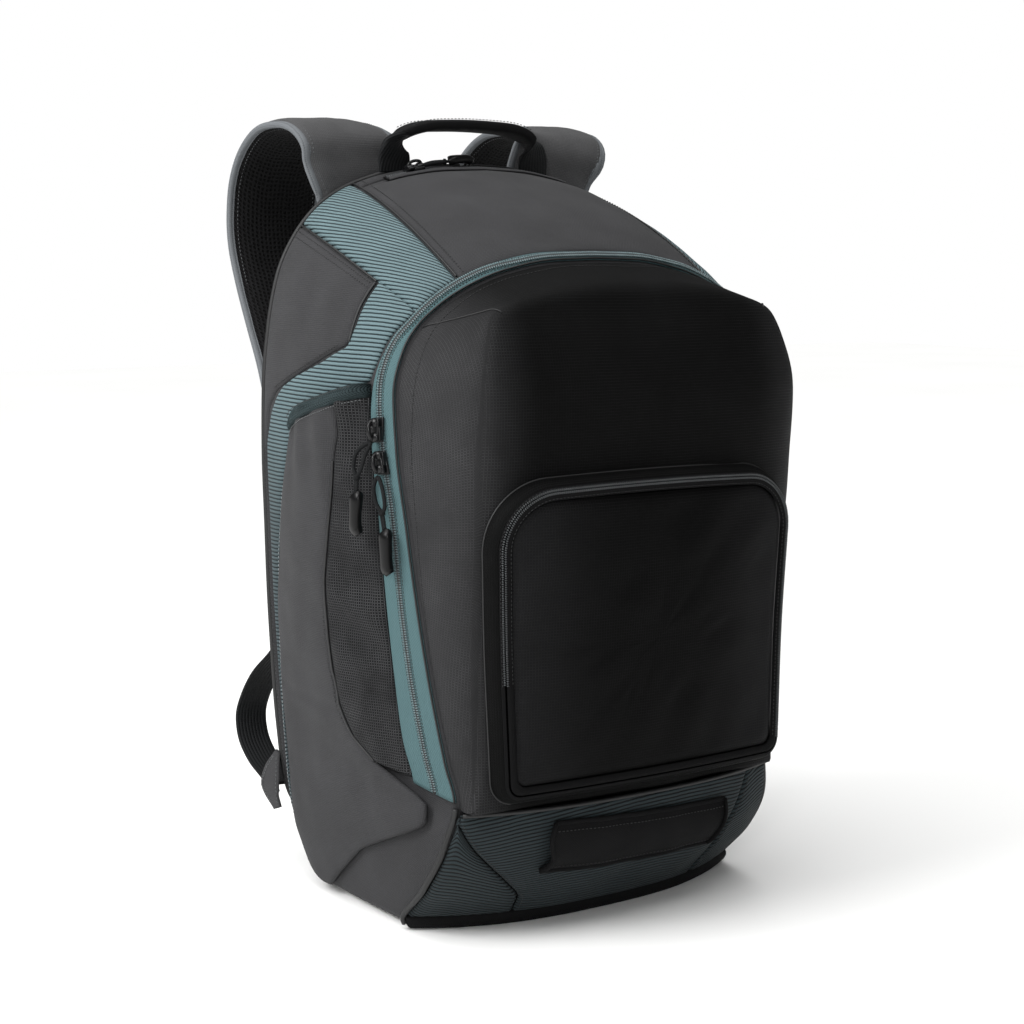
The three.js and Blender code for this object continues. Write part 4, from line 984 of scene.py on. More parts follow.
# Door.
def door_stations():
    """Rear edge, crease and rounding round the door: up the left, over, down the right, along the bottom."""
    s, hand = round_the_arch(0.31, 120)
    _, _, _, fx, fy, fz, _ = rim(s)
    x, z, rounding = [f(s) for f in crease_columns]
    rear = stack(hand * (fx - 0.49), fy - 0.35, fz)
    x, z = hand * x * HALF, z * HEIGHT
    low_x = np.linspace(0.98, -0.98, 70) * 0.788 * HALF
    low = stack(low_x, face_y(low_x, DOOR_BOTTOM), DOOR_BOTTOM)
    low_rear = stack(low_x * 0.99, low[:, 1] + DOOR_RETURN, DOOR_BOTTOM + 0.49)
    lines = ((rear, low_rear), (stack(x, face_y(x, z), z), low),
             (rounding * CREASE_ROUND, np.full(70, DOOR_RETURN * 0.45)))
    return [np.concatenate([arch, bottom, arch[:1]]) for arch, bottom in lines]


def front_door():
    rear, crease, rounding = door_stations()
    to_middle = unit(stack(-crease[:, 0], 0, FACE_MIDDLE - crease[:, 2]))
    span = np.linalg.norm(crease - rear, axis=1)
    start = crease + (rear - crease) * np.minimum(0.9, rounding / span)[:, None]
    end = crease + to_middle * rounding[:, None]
    end[:, 1] = face_y(end[:, 0], end[:, 2])
    # Rows up the side, round the crease and in over the face; the crease's own row is the fifteenth.
    middle_row = 14
    rows = [mix(rear, start, t) for t in np.linspace(0, 1, 9)]
    rows += [(1 - t) ** 2 * start + 2 * t * (1 - t) * crease + t * t * end for t in np.linspace(0, 1, 11)[1:]]
    for share in np.linspace(0, 1, 20)[1:] ** 0.9:
        x, z = end[:, 0] * (1 - share), mix(end[:, 2], FACE_MIDDLE, share)
        rows.append(stack(x, face_y(x, z), z))
    points = np.array(rows)
    run = travelled(points, 0)
    flat = crease - to_middle * (run[middle_row] - run)[..., None]
    flat[middle_row:] = points[middle_row:]
    normal = unit(np.cross(np.gradient(points, axis=1), np.gradient(points, axis=0)))
    normal = np.where(np.sum(normal * (points - MIDDLE), -1, keepdims=True) < 0, -normal, normal)
    normal[-3:] = [0, -1, 0]
    ease = smooth(run / 14) * (1 - smooth((np.arange(len(rows)) - 30) / 6))[:, None]
    height = rumple(points, 80, 0.9, 31) * ease + 0.55 * (1 - np.exp(-run / 3)) - 0.7 * np.exp(-run / 1.2)
    points = points + normal * height[..., None]
    laid("front_door", points, flat[..., ::2], DOOR_CLOTH, joined=True, nodes=["front_door"])
    # Stitching inside the zip, and the mitred seams of the top corners.
    arch = (points[2] + normal[2] * 0.25)[:239]
    stitches("door_edge_stitch", arch, DARK_THREAD, long=2.2, pitch=2.9, high=0.28)
    for hand, k in ((-1, 76), (1, 162)):
        tube("door_mitre_" + NAMES[hand], points[:16, k] + normal[:16, k] * 0.35, 0.4, DARK_THREAD, sides=6)


# Front pocket.
def pocket_ring(inset, height):
    """Rounded rectangle on the door's face, moved in by the inset, with as many points on every ring."""
    half, top, bottom = POCKET_HALF - inset, POCKET_TOP - inset, POCKET_BOTTOM + inset
    big, small = max(POCKET_CORNER - inset, POCKET_CORNER * 0.23), max(POCKET_FOOT - inset, POCKET_FOOT * 0.44)
    arcs = []
    corners = ((half - big, top - big, big), (big - half, top - big, big),
               (small - half, bottom + small, small), (half - small, bottom + small, small))
    for k, (x, z, r) in enumerate(corners):
        angle = np.radians(np.linspace(90 * k, 90 * k + 90, 17))
        arcs.append(stack(x + r * np.cos(angle), z + r * np.sin(angle)))
    spots = []
    for k, count in enumerate((48, 44, 56, 44)):
        between = np.linspace(0, 1, count + 1)[1:-1, None]
        spots += [arcs[k], mix(arcs[k][-1], arcs[(k + 1) % 4][0], between)]
    x, z = np.concatenate([*spots, arcs[0][:1]]).T
    z = z + np.where(z > POCKET_MIDDLE, POCKET_ARCH * (1 - (x / POCKET_HALF) ** 2), 0)
    x = x * (1 + np.where(x < 0, 0.06, -0.012) * (z - POCKET_MIDDLE) / (POCKET_TOP - POCKET_MIDDLE))
    return stack(x, face_y(x, z) - height, z)


POCKET_LEFT_FOOT, POCKET_RIGHT_FOOT = 152, 258


def pocket_lift(inset):
    return 0.35 + POCKET_DEPTH * pocket_height(inset / POCKET_CORNER)


def pocket_rings(insets, rise):
    return np.array([pocket_ring(inset, pocket_lift(inset) + rise(inset)) for inset in insets])


def pocket_border(name, insets, finish, rise):
    """Ring by ring of the pocket's border; rise(inset) lifts each ring."""
    points = pocket_rings(insets, rise)
    laid(name, points, stack(travelled(points, 1), travelled(points, 0)), finish, joined=True, thick=1.0)


def pocket_panel():
    """The pocket's own face, tucked down at its border and filled by the cloth simulation."""
    def rise(inset):
        return 0.6 - 1.6 * math.exp(-(inset - PANEL_INSET) / 1.2)

    points = pocket_rings([PANEL_INSET, 14.0, 14.8, 16, 18, 22, 28, 36, 46, 56], rise)
    inner, more = points[-1], []
    for share in np.linspace(0, 1, 16)[1:]:
        x, z = inner[:, 0] * (1 - share), mix(inner[:, 2], POCKET_MIDDLE, share)
        inset = mix(56, 106, share)
        more.append(stack(x, face_y(x, z) - pocket_lift(inset) - rise(inset), z))
    points = np.concatenate([points, more])
    inward = 1 - smooth((np.arange(len(points)) - (len(points) - 7)) / 5)
    points[..., 1] -= rumple(points, 52, 1.1, 41) * smooth(travelled(points, 0) / 16) * inward[:, None]
    pocket = laid("pocket_panel", points, points[..., ::2], POCKET_CLOTH, joined=True, thick=1.0,
                  nodes=["front_pocket"])
    settle(pocket, lambda p: 1.0 - smooth((pocket_inside(p) - 3) / 16), pressure=2.0, cap=3.0)


def front_pocket():
    pocket_border("pocket_wall", [0, 0.3, 0.8, 1.6, 2.5, 3.4, 4.4, 5.2], RIPSTOP,
                  lambda d: 0.3 - 1.2 * (d == 0))
    pocket_border("pocket_tape", [4.9, 5.1, 5.6, 6.2, 6.8, 7.1], BLACK_TAPE,
                  lambda d: 0.5 + 0.2 * (5 < d < 7))
    pocket_border("pocket_twill", [8.2, 8.5, 9.2, 10.2, 11.4, 12.4, 13.0, 13.3], BLACK_TAPE,
                  lambda d: 0.4 + 0.8 * math.sin(math.pi * min(1, max(0, (d - 8.2) / 5.1))) ** 0.5)
    pocket_panel()
    # The zip and its stitches run from one foot over the top to the other.
    ring, inner = pocket_ring(7.6, pocket_lift(7.6) + 1.1), pocket_ring(8.4, pocket_lift(8.4) + 1.1)
    count = len(ring) - 1
    path = [(count - 44 + k) % count for k in range(count - POCKET_RIGHT_FOOT + POCKET_LEFT_FOOT)]
    line = ring[path]
    coil("pocket_zip_coil", line, inner[path] - line, np.tile([0, -1.0, 0], (len(line), 1)), DARK_TEETH,
         nodes=["pocket_zip_coil"], gap=0.95, pitch=1.5, size=(0.56, 0.95, 0.65))
    tube("pocket_outer_seam", pocket_ring(0.2, 0.9), 0.7, PIPING, sides=6)
    for name, inset, rise, high in (("twill", 11.9, 1.5, 0.28), ("tape", 5.6, 0.95, 0.25)):
        stitches(f"pocket_{name}_stitch", pocket_ring(inset, pocket_lift(inset) + rise)[path], DARK_THREAD,
                 long=2.0, pitch=2.7, high=high)


def pocket_inside(p):
    """Rough distance in from the pocket's border, for the settling."""
    level = np.minimum(POCKET_TOP - p[:, 2], p[:, 2] - POCKET_BOTTOM)
    return np.minimum(POCKET_HALF - np.abs(p[:, 0]), level) - PANEL_INSET


# Base front.
LEFT_FOLD = [[0.13, -0.52], [0.23, -0.525], [0.395, -0.625], [0.55, -0.745], [0.72, -0.875], [0.93, -0.998]]
RIGHT_FOLD = [[0.0, 0.55], [0.08, 0.578], [0.4, 0.667], [0.8, 0.768], [0.985, 0.82]]


def base_patch(name, left, right, high, slant=0.0, nodes=(), seed=51):
    """Corded patch of the base panel between two folds, which are functions of the height w."""
    w = mix(0.10, high, spread(26, 0.4))[:, None]
    u = mix(left(w), right(w), spread(max(10, int(abs(right(0.5) - left(0.5)) * 60)), 0.4))
    points = base_panel(u, w)
    d = from_edges(points)
    height = sewn(d, 2.4, 1.6, 4, 1.5) + rumple(points, 40, 0.5, seed) * smooth(d / 8)
    x, z = points[..., 0], travelled(points, 0) + points[:1, :, 2]
    turn = math.radians(slant)
    cut = stack(x * math.cos(turn) - z * math.sin(turn), x * math.sin(turn) + z * math.cos(turn))
    laid(name, lifted(base_panel, u, w, height), cut, CORDED_SHADED, thick=1.0, nodes=nodes)


def base_front():
    left, right = curve_through(LEFT_FOLD, 0, 1), curve_through(RIGHT_FOLD, 0, 1)
    base_patch("base_panel_middle", left, right, 0.985, nodes=["base_front_panel"])
    base_patch("base_corner_left", lambda w: -0.995 + 0 * w, lambda w: left(w) - 0.004, 0.965,
               slant=24, seed=52)
    base_patch("base_corner_right", lambda w: right(w) + 0.004, lambda w: 0.995 + 0 * w, 0.985,
               slant=-32, seed=53)
    # A plain dark band closes the bottom edge.
    u, w = np.meshgrid(np.linspace(-1, 1, 90), np.linspace(0.0, 0.12, 8), indexing="ij")
    points = lifted(base_panel, u, w, 1.2 + 3.0 * np.sin(np.pi * np.clip(w / 0.12, 0, 1)) ** 0.6)
    points[..., 2] = np.maximum(points[..., 2], 0.2)
    laid("base_band", points, stack(travelled(points, 0), travelled(points, 1)), BLACK_TAPE, thick=1.0)
    w = np.linspace(0.13, 0.93, 50)
    for name, fold in (("left", left), ("right", right)):
        stitches("base_fold_stitch_" + name, lifted(base_panel, fold(w) + 0.018, w, 3.9), DARK_THREAD, long=2.2)
    tube("base_top_piping", lifted(base_panel, np.linspace(-0.99, 0.99, 90), 0.988, 3.0), 1.5, PIPING, sides=7)


def grab_flap():
    """Cloth flap sewn down at both ends, bowed off the base, with a bound edge all round."""
    u, t = np.meshgrid(np.linspace(-0.50, 0.60, 60), np.linspace(0, 1, 24), indexing="ij")
    lean = (u + 0.5) / 1.1
    end_in = 0.055 * (1 - t) * smooth((u - 0.3) / 0.3)
    w = mix(mix(0.515, 0.468, np.maximum(lean, 0) ** 0.6), mix(0.885, 0.815, lean), t)
    bow = 5.4 + 6.2 * np.sin(np.pi * t) ** 0.8 + 1.0 * np.sin(np.pi * lean)
    curve = 0.018 * np.sin(np.pi * 2 * t) * (1 - smooth(lean * 6))
    points = lifted(base_panel, u - end_in + curve, w, bow)
    out = np.array([0, -0.5, 0])
    points += rumple(points, 38, 0.7, 61)[..., None] * 2 * out
    laid("grab_flap", points, points[..., ::2], BLACK_TAPE, thick=1.6, nodes=["grab_flap"])
    for name, line, radius in (("left", points[0], 2.4), ("right", points[-1], 2.2),
                               ("top", points[:, -1], 1.7), ("bottom", points[:, 0], 1.9)):
        tube("flap_binding_" + name, line + out, radius, BLACK_TAPE, sides=10, flat=0.55)
    for name, row in (("top", -4), ("bottom", 3)):
        stitches("flap_stitch_" + name, points[1:-1, row] + out, DARK_THREAD, long=2.2)


# Straps and loops.
def strap_points(table, side):
    return [[side * r[0] * HALF, BACK_Y + STRAP_SEAT + r[1] * STRAP_REACH, r[2] * HEIGHT] for r in table]


def shoulder_strap(side):
    """Padded strap: a cloth face and a mesh face, both filled, with a bound edge and stitches each side."""
    name = NAMES[side]
    share = np.linspace(0, 1, 111)
    path = catmull(strap_points(STRAP, side), 110)
    path[:, 0] += 9 * (side > 0) * smooth((share - 0.12) / 0.15) * (1 - smooth((share - 0.35) / 0.3))
    wide = np.where(share < 0.2, mix(0.86, 1, share / 0.2), mix(1, 0.72, smooth((share - 0.55) / 0.45)))
    wide = wide * STRAP_WIDTH
    thick = STRAP_THICK * mix(0.55, 1, smooth(share * 6)) * mix(1, 0.6, smooth(share * 6 - 5))
    across, up = along_path(path, X_WAY)
    a = np.sin(np.linspace(-1, 1, 25) * np.pi / 2)
    rise = 0.16 + 0.84 * np.maximum(0, 1 - np.abs(a) ** 3.2) ** 0.6
    flat = path[:, None] + across[:, None] * (a[:, None] * (wide[:, None, None] / 2 - 1.2))
    for piece, hand, finish in (("shoulder_strap_", -1, STRAP_CLOTH), ("strap_mesh_", 1, MESH)):
        points = flat + up[:, None] * (hand * rise[:, None] * thick[:, None, None] / 2)
        waves = rumple(points, 30, 0.55, 70 + (side > 0)) * (1 - np.abs(a) ** 4)
        points = points + up[:, None] * hand * waves[..., None]
        made = laid(piece + name, points, stack(travelled(points, 1), travelled(points, 0)), finish, thick=0.8,
                    nodes=["shoulder_strap_" + name] if hand < 0 else ())
        face_way(made, up[40] * hand, path[40])
        settle(made, lambda p: strap_hold(p, path, wide, across), pressure=1.6, cap=1.8)
    edge_thick = np.maximum(3.6, thick * 0.42)
    for edge in (-1, 1):
        strip(f"strap_binding_{name}_{'outer' if edge * side > 0 else 'inner'}",
              path + across * (edge * (wide / 2 - 2.6))[:, None], X_WAY,
              lambda k: rounded(8.6, edge_thick[k], 16, 0.3, 3.0), GROSGRAIN)
        for hand in (-1, 1):
            row = path + across * (edge * (wide / 2 - 5.6))[:, None]
            row = row + up * (hand * (edge_thick / 2 + 1.0))[:, None]
            stitches(f"strap_stitch_{name}_{edge + 1}_{hand + 1}", row[4:-4], GREY_THREAD, long=2.0, high=0.3)


def strap_hold(p, path, wide, across):
    """1 at the strap's bound edges and ends, 0 along its middle."""
    near = np.argmin(np.linalg.norm(p[:, None] - path[None, ::3], axis=-1), axis=1) * 3
    off = np.abs(np.sum((p - path[near]) * across[near], -1)) / (wide[near] / 2)
    return np.maximum(smooth((off - 0.62) / 0.28), (near < 9) | (near > len(path) - 12))


def face_way(piece, direction, origin):
    """Turns an open sheet so that its faces look along a direction near a point."""
    mesh = piece.data
    bm = bmesh.new()
    bm.from_mesh(mesh)
    at = Vector(origin * 0.001)
    face = min(bm.faces, key=lambda f: (f.calc_center_median() - at).length)
    if face.normal.dot(Vector(direction)) < 0:
        bmesh.ops.reverse_faces(bm, faces=bm.faces)
    bm.to_mesh(mesh)
    bm.free()


def lower_webbing(side):
    """Webbing from the buckle to the base, its free end behind the buckle, and the wing tab at its foot."""
    name = NAMES[side]
    strip("lower_webbing_" + name, catmull(strap_points(WEB, side), 80), X_WAY,
          lambda i: rounded(WEB_WIDTH, WEB_THICK, 12, 0.6), WEBBING,
          nodes=["lower_webbing_" + name])
    tail = [[0.694, 0.190, 0.455], [0.700, 0.168, 0.40], [0.712, 0.150, 0.33], [0.720, 0.142, 0.285]]
    strip("webbing_tail_" + name, catmull(strap_points(tail, side), 40), X_WAY,
          lambda i: rounded(WEB_WIDTH, WEB_THICK * (1.9 if i > 34 else 1.0), 12, 0.6), WEBBING)
    ladder_buckle(side)
    wing = [[0.915, -0.012, 0.178], [0.930, 0.023, 0.150], [0.935, 0.049, 0.122], [0.915, 0.005, 0.094]]
    path = catmull(np.array(strap_points(wing, side)) + [side * 7.3, 0, 0], 24)
    wide = np.interp(np.linspace(0, 3, 25), [0, 1, 2, 3], [6, 22, 30, 14])
    strip("wing_tab_" + name, path, Y_WAY, lambda i: rounded(wide[i], 2.2, 16, 0.5), CHARCOAL,
          nodes=["wing_tab_" + name])
    for hand in (-1, 1):
        line = path[2:-2] + stack(side * 1.3, hand * (wide[2:-2] / 2 - 3), 0)
        stitches(f"wing_stitch_{name}_{hand + 1}", line, GREY_THREAD, long=2.0)


def block(bm, place, bevel, taper=1.0):
    """Adds a unit cube at its place, its rear end narrowed by the taper and its edges rounded."""
    made = bmesh.ops.create_cube(bm, size=1)["verts"]
    bmesh.ops.transform(bm, matrix=place, verts=made)
    for vert in made:
        if vert.co.x < 0:
            vert.co.y *= taper
    edges = list({edge for vert in made for edge in vert.link_edges})
    bmesh.ops.bevel(bm, geom=edges, offset=bevel, offset_type="OFFSET", affect="EDGES", segments=3,
                    profile=0.5, material=-1)


def placed(middle, size):
    return Matrix.Translation(Vector(middle)) @ Matrix.Diagonal((*size, 1))


def ladder_buckle(side):
    """Three-bar ladder buckle: two side rails and three rounded cross bars, the lowest one lifted."""
    name = NAMES[side]
    top, low = np.array(strap_points([[0.6903, 0.2061, 0.4636], [0.6994, 0.1825, 0.4024]], side))
    down = unit(low - top)
    out = np.cross(X_WAY, down)
    out = out if out[1] > 0 else -out
    place = Matrix.Translation(Vector(mix(top, low, 0.5))) @ Matrix((X_WAY, down, out)).transposed().to_4x4()
    bm = bmesh.new()
    for middle, size in (((-16.2, 0, 0), (3.6, 30, 5.2)), ((16.2, 0, 0), (3.6, 30, 5.2)),
                         ((0, -13.2, 0.4), (31, 4.2, 4.4)), ((0, -2.0, 1.2), (31, 4.4, 4.4)),
                         ((0, 12.8, 2.2), (31, 5.0, 4.4))):
        block(bm, placed(middle, size), 1.2)
    bmesh.ops.transform(bm, matrix=Matrix.Scale(MM, 4) @ place, verts=bm.verts)
    from_bmesh(bm, "strap_buckle_" + name, ACETAL, nodes=["strap_buckle_" + name])


def haul_loop():
    """Webbing loop: its width lies side to side at the feet and fore and aft on top, with a padded grip."""
    path = catmull([[r[0] * HALF, BACK_Y - r[1] * HAUL_INSET, r[2] * HEIGHT] for r in HAUL], 104)
    share = np.linspace(0, 1, 105)
    turn = np.interp(share, np.linspace(0, 1, len(HAUL)), [r[3] for r in HAUL])[:, None]
    ways = mix(X_WAY, Y_WAY, turn)
    grip = smooth((0.5 - np.abs(share - 0.5)) / 0.22)
    strip("haul_loop", path, ways,
          lambda i: rounded(mix(WEB_WIDTH, 27, grip[i]), mix(2.6, 6.5, grip[i]), 20, 0.45), WEBBING,
          nodes=["haul_loop"])
    strip("haul_grip", path[26:79], ways[26:79],
          lambda i: rounded(28.5, 8.2 - 2.2 * (i < 2 or i > 50), 20, 0.45), BLACK_TAPE)
    for hand in (-1, 1):
        stitches(f"haul_stitch_{hand + 1}", path[30:75] + [0, hand * 11.5, 4.4], DARK_THREAD, long=2.2)


def back_pad():
    """Padded back in air mesh, with a sewn channel down the middle and two across."""
    s, hand = round_the_arch(0.1, 90)
    edge = wall(hand * (1 - s), 0.0)
    edge[-1] = edge[0]
    edge_x, edge_z = edge[:, 0] * 0.93, np.minimum(edge[:, 2], PAD_TOP)
    rows = []
    shares = np.concatenate([np.linspace(0, 0.84, 40), [0.86, 0.88, 0.895, 0.905, 0.915, 0.922, 0.925]])
    for share in shares:
        rise = np.interp(share, PAD_SHARES, PAD_RISES) * PAD_THICK
        x, z = edge_x * share, mix(PAD_MIDDLE, edge_z, share)
        channel = sum(np.exp(-(off / 3.2) ** 2) for off in (x, z - PAD_CHANNELS[0], z - PAD_CHANNELS[1]))
        channel = np.minimum(channel * smooth((0.9 - share) / 0.06), 1)
        rows.append(stack(x, BACK_Y + 0.35 + rise * (1 - 0.72 * channel), z))
    points = np.array(rows)
    pad = laid("back_pad", points, points[..., ::2], MESH, joined=True, thick=0.8,
               nodes=["back_pad"])
    settle(pad, pad_hold, pressure=2.0, cap=3.0)
    tube("back_pad_piping", stack(edge_x * 0.93, BACK_Y + 1.4, mix(PAD_MIDDLE, edge_z, 0.93)), 1.9, PIPING)


def pad_hold(p):
    near = np.minimum(np.abs(p[:, 0]), np.minimum(*(np.abs(p[:, 2] - z) for z in PAD_CHANNELS)))
    return np.maximum(1 - smooth((near - 3) / 8), smooth((BACK_Y + 0.35 + PAD_THICK * 0.9 - p[:, 1]) / 2))


# Sliders and pulls.
def local_frame(q, v, height, heading):
    """Matrix of a place on the wall: ahead (along the zip), across and out, in mm."""
    point = lifted(wall, q, v, height)
    e = 0.004
    out = unit(lifted(wall, q, v, height + 1) - point)
    ahead = unit(lifted(wall, q + heading[0] * e, v + heading[1] * e, height) - point)
    turn = Matrix((ahead, np.cross(out, ahead), out)).transposed().to_4x4()
    return Matrix.Translation(Vector(point)) @ turn


def zip_slider(name, q, v, height, heading, size):
    """Coil slider: two plates joined by a neck, two lobes on the upper one, and a raised loop."""
    place = local_frame(q, v, height, heading) @ Matrix.Scale(size, 4)
    bm = bmesh.new()
    for middle, extent, edge, taper in (
            ((0, 0, 0.2), (11.5, 8.6, 1.3), 0.55, 0.62), ((0, 0, 2.7), (10.5, 7.8, 1.5), 0.65, 0.62),
            ((3.6, 0, 1.5), (2.6, 2.2, 2.6), 0.5, 1), ((-1.8, 3.1, 1.8), (6.5, 1.1, 2.0), 0.4, 1),
            ((-1.8, -3.1, 1.8), (6.5, 1.1, 2.0), 0.4, 1)):
        block(bm, placed(middle, extent), edge, taper)
    for x in (-3.4, 3.0):
        made = bmesh.ops.create_uvsphere(bm, u_segments=16, v_segments=10, radius=1)["verts"]
        bmesh.ops.transform(bm, matrix=placed((x, 0, 3.4), (2.4, 3.1, 1.2)), verts=made)
    bmesh.ops.transform(bm, matrix=Matrix.Scale(MM, 4) @ place, verts=bm.verts)
    body = from_bmesh(bm, name + "_body", ENAMEL)
    rail = ((-4.4, 3.4), (-3.4, 5.2), (-1.2, 6.0), (1.4, 5.9), (3.4, 5.0), (4.2, 3.4))
    rail = catmull([list(place @ Vector((x, 0, z))) for x, z in rail], 18)
    loop = tube(name + "_loop", rail, 0.95 * size, ENAMEL)
    join(name, [body, loop], ENAMEL, nodes=[name])


def cord_pull(name, table, foot, loop_width):
    """Doubled cord through the slider, ending in a bent moulded grip; the table has eight places."""
    line = catmull([lifted(wall, r[0] - 1, r[1], foot + r[2]) for r in table], 60)
    loop_end, neck_end = 25, 35
    s, v = table[2][:2]
    side_way = unit(lifted(wall, s - 1, v + 0.01, foot) - lifted(wall, s - 1, v - 0.01, foot))
    loop, neck, grip = line[:loop_end + 1], line[loop_end - 1:neck_end + 2], line[neck_end:]
    bulge = (np.sin(np.pi * np.linspace(0, 1, len(loop))) ** 0.7 * loop_width / 2)[:, None]
    pieces = [tube(name + "_a", loop + side_way * bulge, 1.35, CORD, sides=7),
              tube(name + "_b", loop - side_way * bulge, 1.35, CORD, sides=7)]
    for hand in (-1, 1):
        pieces.append(tube(f"{name}_c{hand}", neck + side_way * hand * 0.9, 1.05, CORD, sides=7))
    pieces.append(tube(name + "_knot", line[loop_end - 1:loop_end + 3], 2.3, CORD))
    join(name + "_cord", pieces, CORD)
    t = np.linspace(0, 1, len(grip))
    out = unit(grip[len(grip) // 2] - MIDDLE)
    grip = grip + out * (1.6 * np.sin(np.pi * t))[:, None] + side_way * (1.5 * np.sin(2 * np.pi * t))[:, None]
    at = (0, 0.05, 0.3, 0.55, 0.85, 1)
    wide = np.interp(t, at, (4.4, 8.2, 9.2, 8.2, 9.8, 7.0))
    thick = np.interp(t, at, (3.6, 5.8, 6.2, 6.0, 6.4, 4.4))
    strip(name, grip, side_way, lambda k: rounded(wide[k], thick[k], 20, 0.5, 2.2), RUBBER, nodes=[name])


def sliders():
    zip_slider("main_zip_slider_upper", 0.618 - 1, 0.914, 3.4, (1.0, 0.0), 1.4)
    zip_slider("main_zip_slider_lower", 0.590 - 1, 0.924, 3.4, (-1.0, -0.02), 1.35)
    zip_slider("top_zip_slider", 0.9 - 1, 0.107, 2.4, (-1.0, 0.0), 1.25)
    # Each pull: station, share across and height over its foot.
    cord_pull("main_zip_pull_upper", [
        [0.6064, 0.900, 0], [0.595, 0.866, 3.4], [0.583, 0.850, 5.4], [0.575, 0.842, 5.9],
        [0.563, 0.833, 6.4], [0.558, 0.830, 6.4], [0.537, 0.822, 6.4], [0.530, 0.822, 6.4]], 8.6, 9)
    cord_pull("main_zip_pull_lower", [
        [0.5792, 0.924, 0.4], [0.570, 0.922, 1.1], [0.558, 0.921, 1.0], [0.552, 0.921, 0.8],
        [0.538, 0.922, 0.6], [0.534, 0.922, 0.6], [0.511, 0.924, 0.6], [0.505, 0.924, 0.6]], 8.4, 10)
    cord_pull("top_zip_pull", [
        [0.912, 0.102, 0.2], [0.93, 0.092, 1.0], [0.945, 0.088, 1.2], [0.95, 0.086, 1.3],
        [0.956, 0.085, 1.4], [0.962, 0.084, 1.4], [0.988, 0.08, 1.4], [0.998, 0.08, 1.4]], 5.2, 4)


def seam_lines(side):
    """Piping, welts and stitching along the seams of the side."""
    name = NAMES[side]

    def sewing(label, s, v, lift, finish=DARK_THREAD):
        stitches(f"{label}_stitch_{name}", lifted(wall, side * (1 - s), v, lift), finish)

    def cord(label, s, v, lift, radius, finish=PIPING, sides=6):
        tube(f"{label}_{name}", lifted(wall, side * (1 - s), v, lift), radius, finish, sides=sides)

    strip_front = curve_through([[r[0], r[2]] for r in YOKE_SIDE], 0, 1, True)
    shoulder_front = curve_through([[r[0], r[2]] for r in SHOULDER], 0, 1, True)
    cord("base_piping", np.linspace(0.185, 0.31, 60), 0.994, 1.8, 2.1, sides=7)
    cord("back_edge_piping", np.linspace(0.15, 0.99, 200), 0.006, 1.2, 1.9, sides=7)
    s = np.linspace(0.21, 0.57, 150)
    sewing("yoke_strip_front", s, strip_front(s) + 0.012, 2.3, PALE_THREAD)
    sewing("yoke_strip_rear", np.linspace(0.21, 0.55, 150), 0.028, 2.2)
    v = np.linspace(0.02, 0.69, 120)
    sewing("shoulder_top", 0.756, v, 2.5)
    sewing("shoulder_top2", 0.75, v, 2.5)
    s = np.linspace(0.607, 0.682, 80)
    sewing("shoulder_low", s, shoulder_front(s) - 0.022, 2.4)
    cord("shoulder_fold", np.linspace(0.69, 0.76, 40), 0.708, 1.9, 0.9, DARK_THREAD)
    s = np.linspace(0.32, 0.578, 140)
    seam = sleeve_seam(s)
    rise = sleeve_rise(s, seam) + 2.3
    sewing("sleeve_seam", s, seam - 0.018, rise)
    cord("sleeve_seam_welt", s, seam, rise - 0.4, 0.8)
    v = np.linspace(0.02, 0.93, 150)
    cord("band_top_welt", 0.829, v, 1.9, 0.7)
    cord("band_low_welt", 0.762, np.linspace(0.02, 0.708, 150), 1.9, 0.7)
    sewing("top_seam", 0.838, v, 2.6)


body_shell()
for side in (-1, 1):
    side_panels(side)
    sleeve(side)
    seam_lines(side)
    shoulder_strap(side)
    lower_webbing(side)
top_panels()
top_zip()
main_zip()
front_door()
front_pocket()
base_front()
grab_flap()
haul_loop()
back_pad()
sliders()


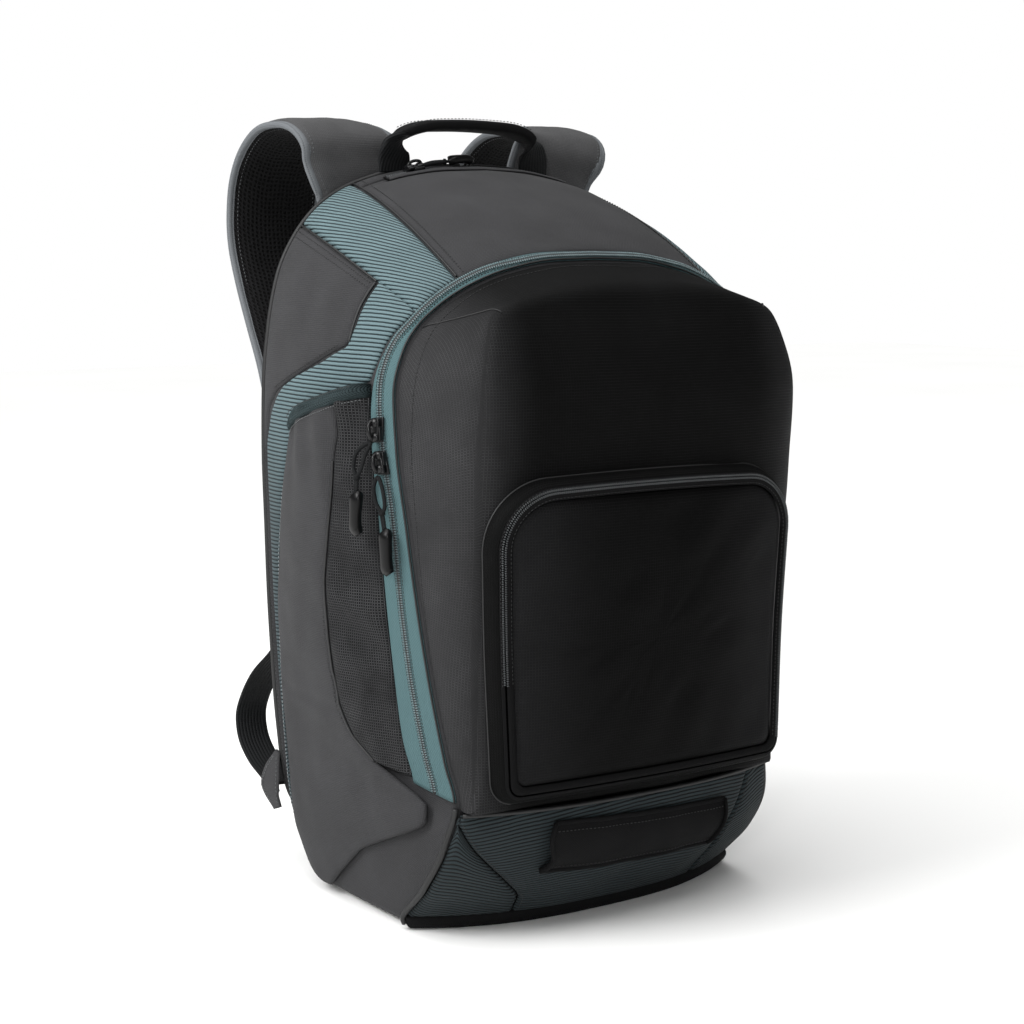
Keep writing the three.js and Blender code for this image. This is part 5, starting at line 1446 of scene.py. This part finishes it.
# Floor, light and camera.
def studio():
    pale, tree, shader = surface_of("pale_studio_floor", 0.9, Specular_IOR_Level=0.2)
    paint = ramp_between(tree, mottled(tree, 600, 2.0), [(0.3, "#f6f6f5"), (0.7, "#f9f9f8")])
    tree.links.new(paint, shader.inputs["Base Color"])
    bm = bmesh.new()
    bmesh.ops.create_grid(bm, x_segments=2, y_segments=2, size=6)
    for vert in bm.verts:
        vert.co.z = -0.0005
    mesh = to_mesh(bm, "studio_floor")
    mesh.materials.append(pale)
    floor = bpy.data.objects.new("studio_floor", mesh)
    bpy.context.scene.collection.objects.link(floor)

    # The backdrop is white to the eye, but lights the bag only softly, so that its blacks stay black.
    world = bpy.data.worlds.new("studio")
    bpy.context.scene.world = world
    world.use_nodes = True
    tree, backdrop = world.node_tree, world.node_tree.nodes["Background"]
    strength = ranged(tree, node(tree, "LightPath").outputs["Is Camera Ray"], {"To Min": 0.18, "To Max": 1.0})
    tree.links.new(strength, backdrop.inputs["Strength"])
    backdrop.inputs["Color"].default_value = (1.0, 1.0, 1.0, 1)
    bpy.context.scene.view_settings.view_transform = "Standard"

    for name, kind, place, target, power, settings in (
            ("key", "AREA", (-1.5, 0.1, 1.35), (0, 0, 0.4), 27, {"shape": "DISK", "size": 0.9}),
            ("sky", "SUN", (-0.3, 0.1, 3.2), (0, 0, 0.0), 2.9, {"angle": 1.2}),
            ("side", "SPOT", (-1.5, -1.5, 0.9), (-0.32, -0.06, 0.28), 100,
             {"shadow_soft_size": 0.3, "spot_size": math.radians(26), "spot_blend": 1})):
        light = bpy.data.lights.new(name, kind)
        light.energy = power
        for setting, value in settings.items():
            setattr(light, setting, value)
        lamp = bpy.data.objects.new(name, light)
        lamp.location = place
        lamp.rotation_euler = (Vector(target) - Vector(place)).to_track_quat("-Z", "Y").to_euler()
        bpy.context.scene.collection.objects.link(lamp)


def camera():
    lens = bpy.data.cameras.new("camera")
    lens.sensor_width = 36
    lens.lens = 68.55
    lens.clip_start, lens.clip_end = 0.05, 50
    view = bpy.data.objects.new("camera", lens)
    view.location = (-0.7657, -1.1307, 0.455)
    view.rotation_euler = (math.radians(82.3), 0, math.radians(-33))
    bpy.context.scene.collection.objects.link(view)
    bpy.context.scene.camera = view


studio()
camera()
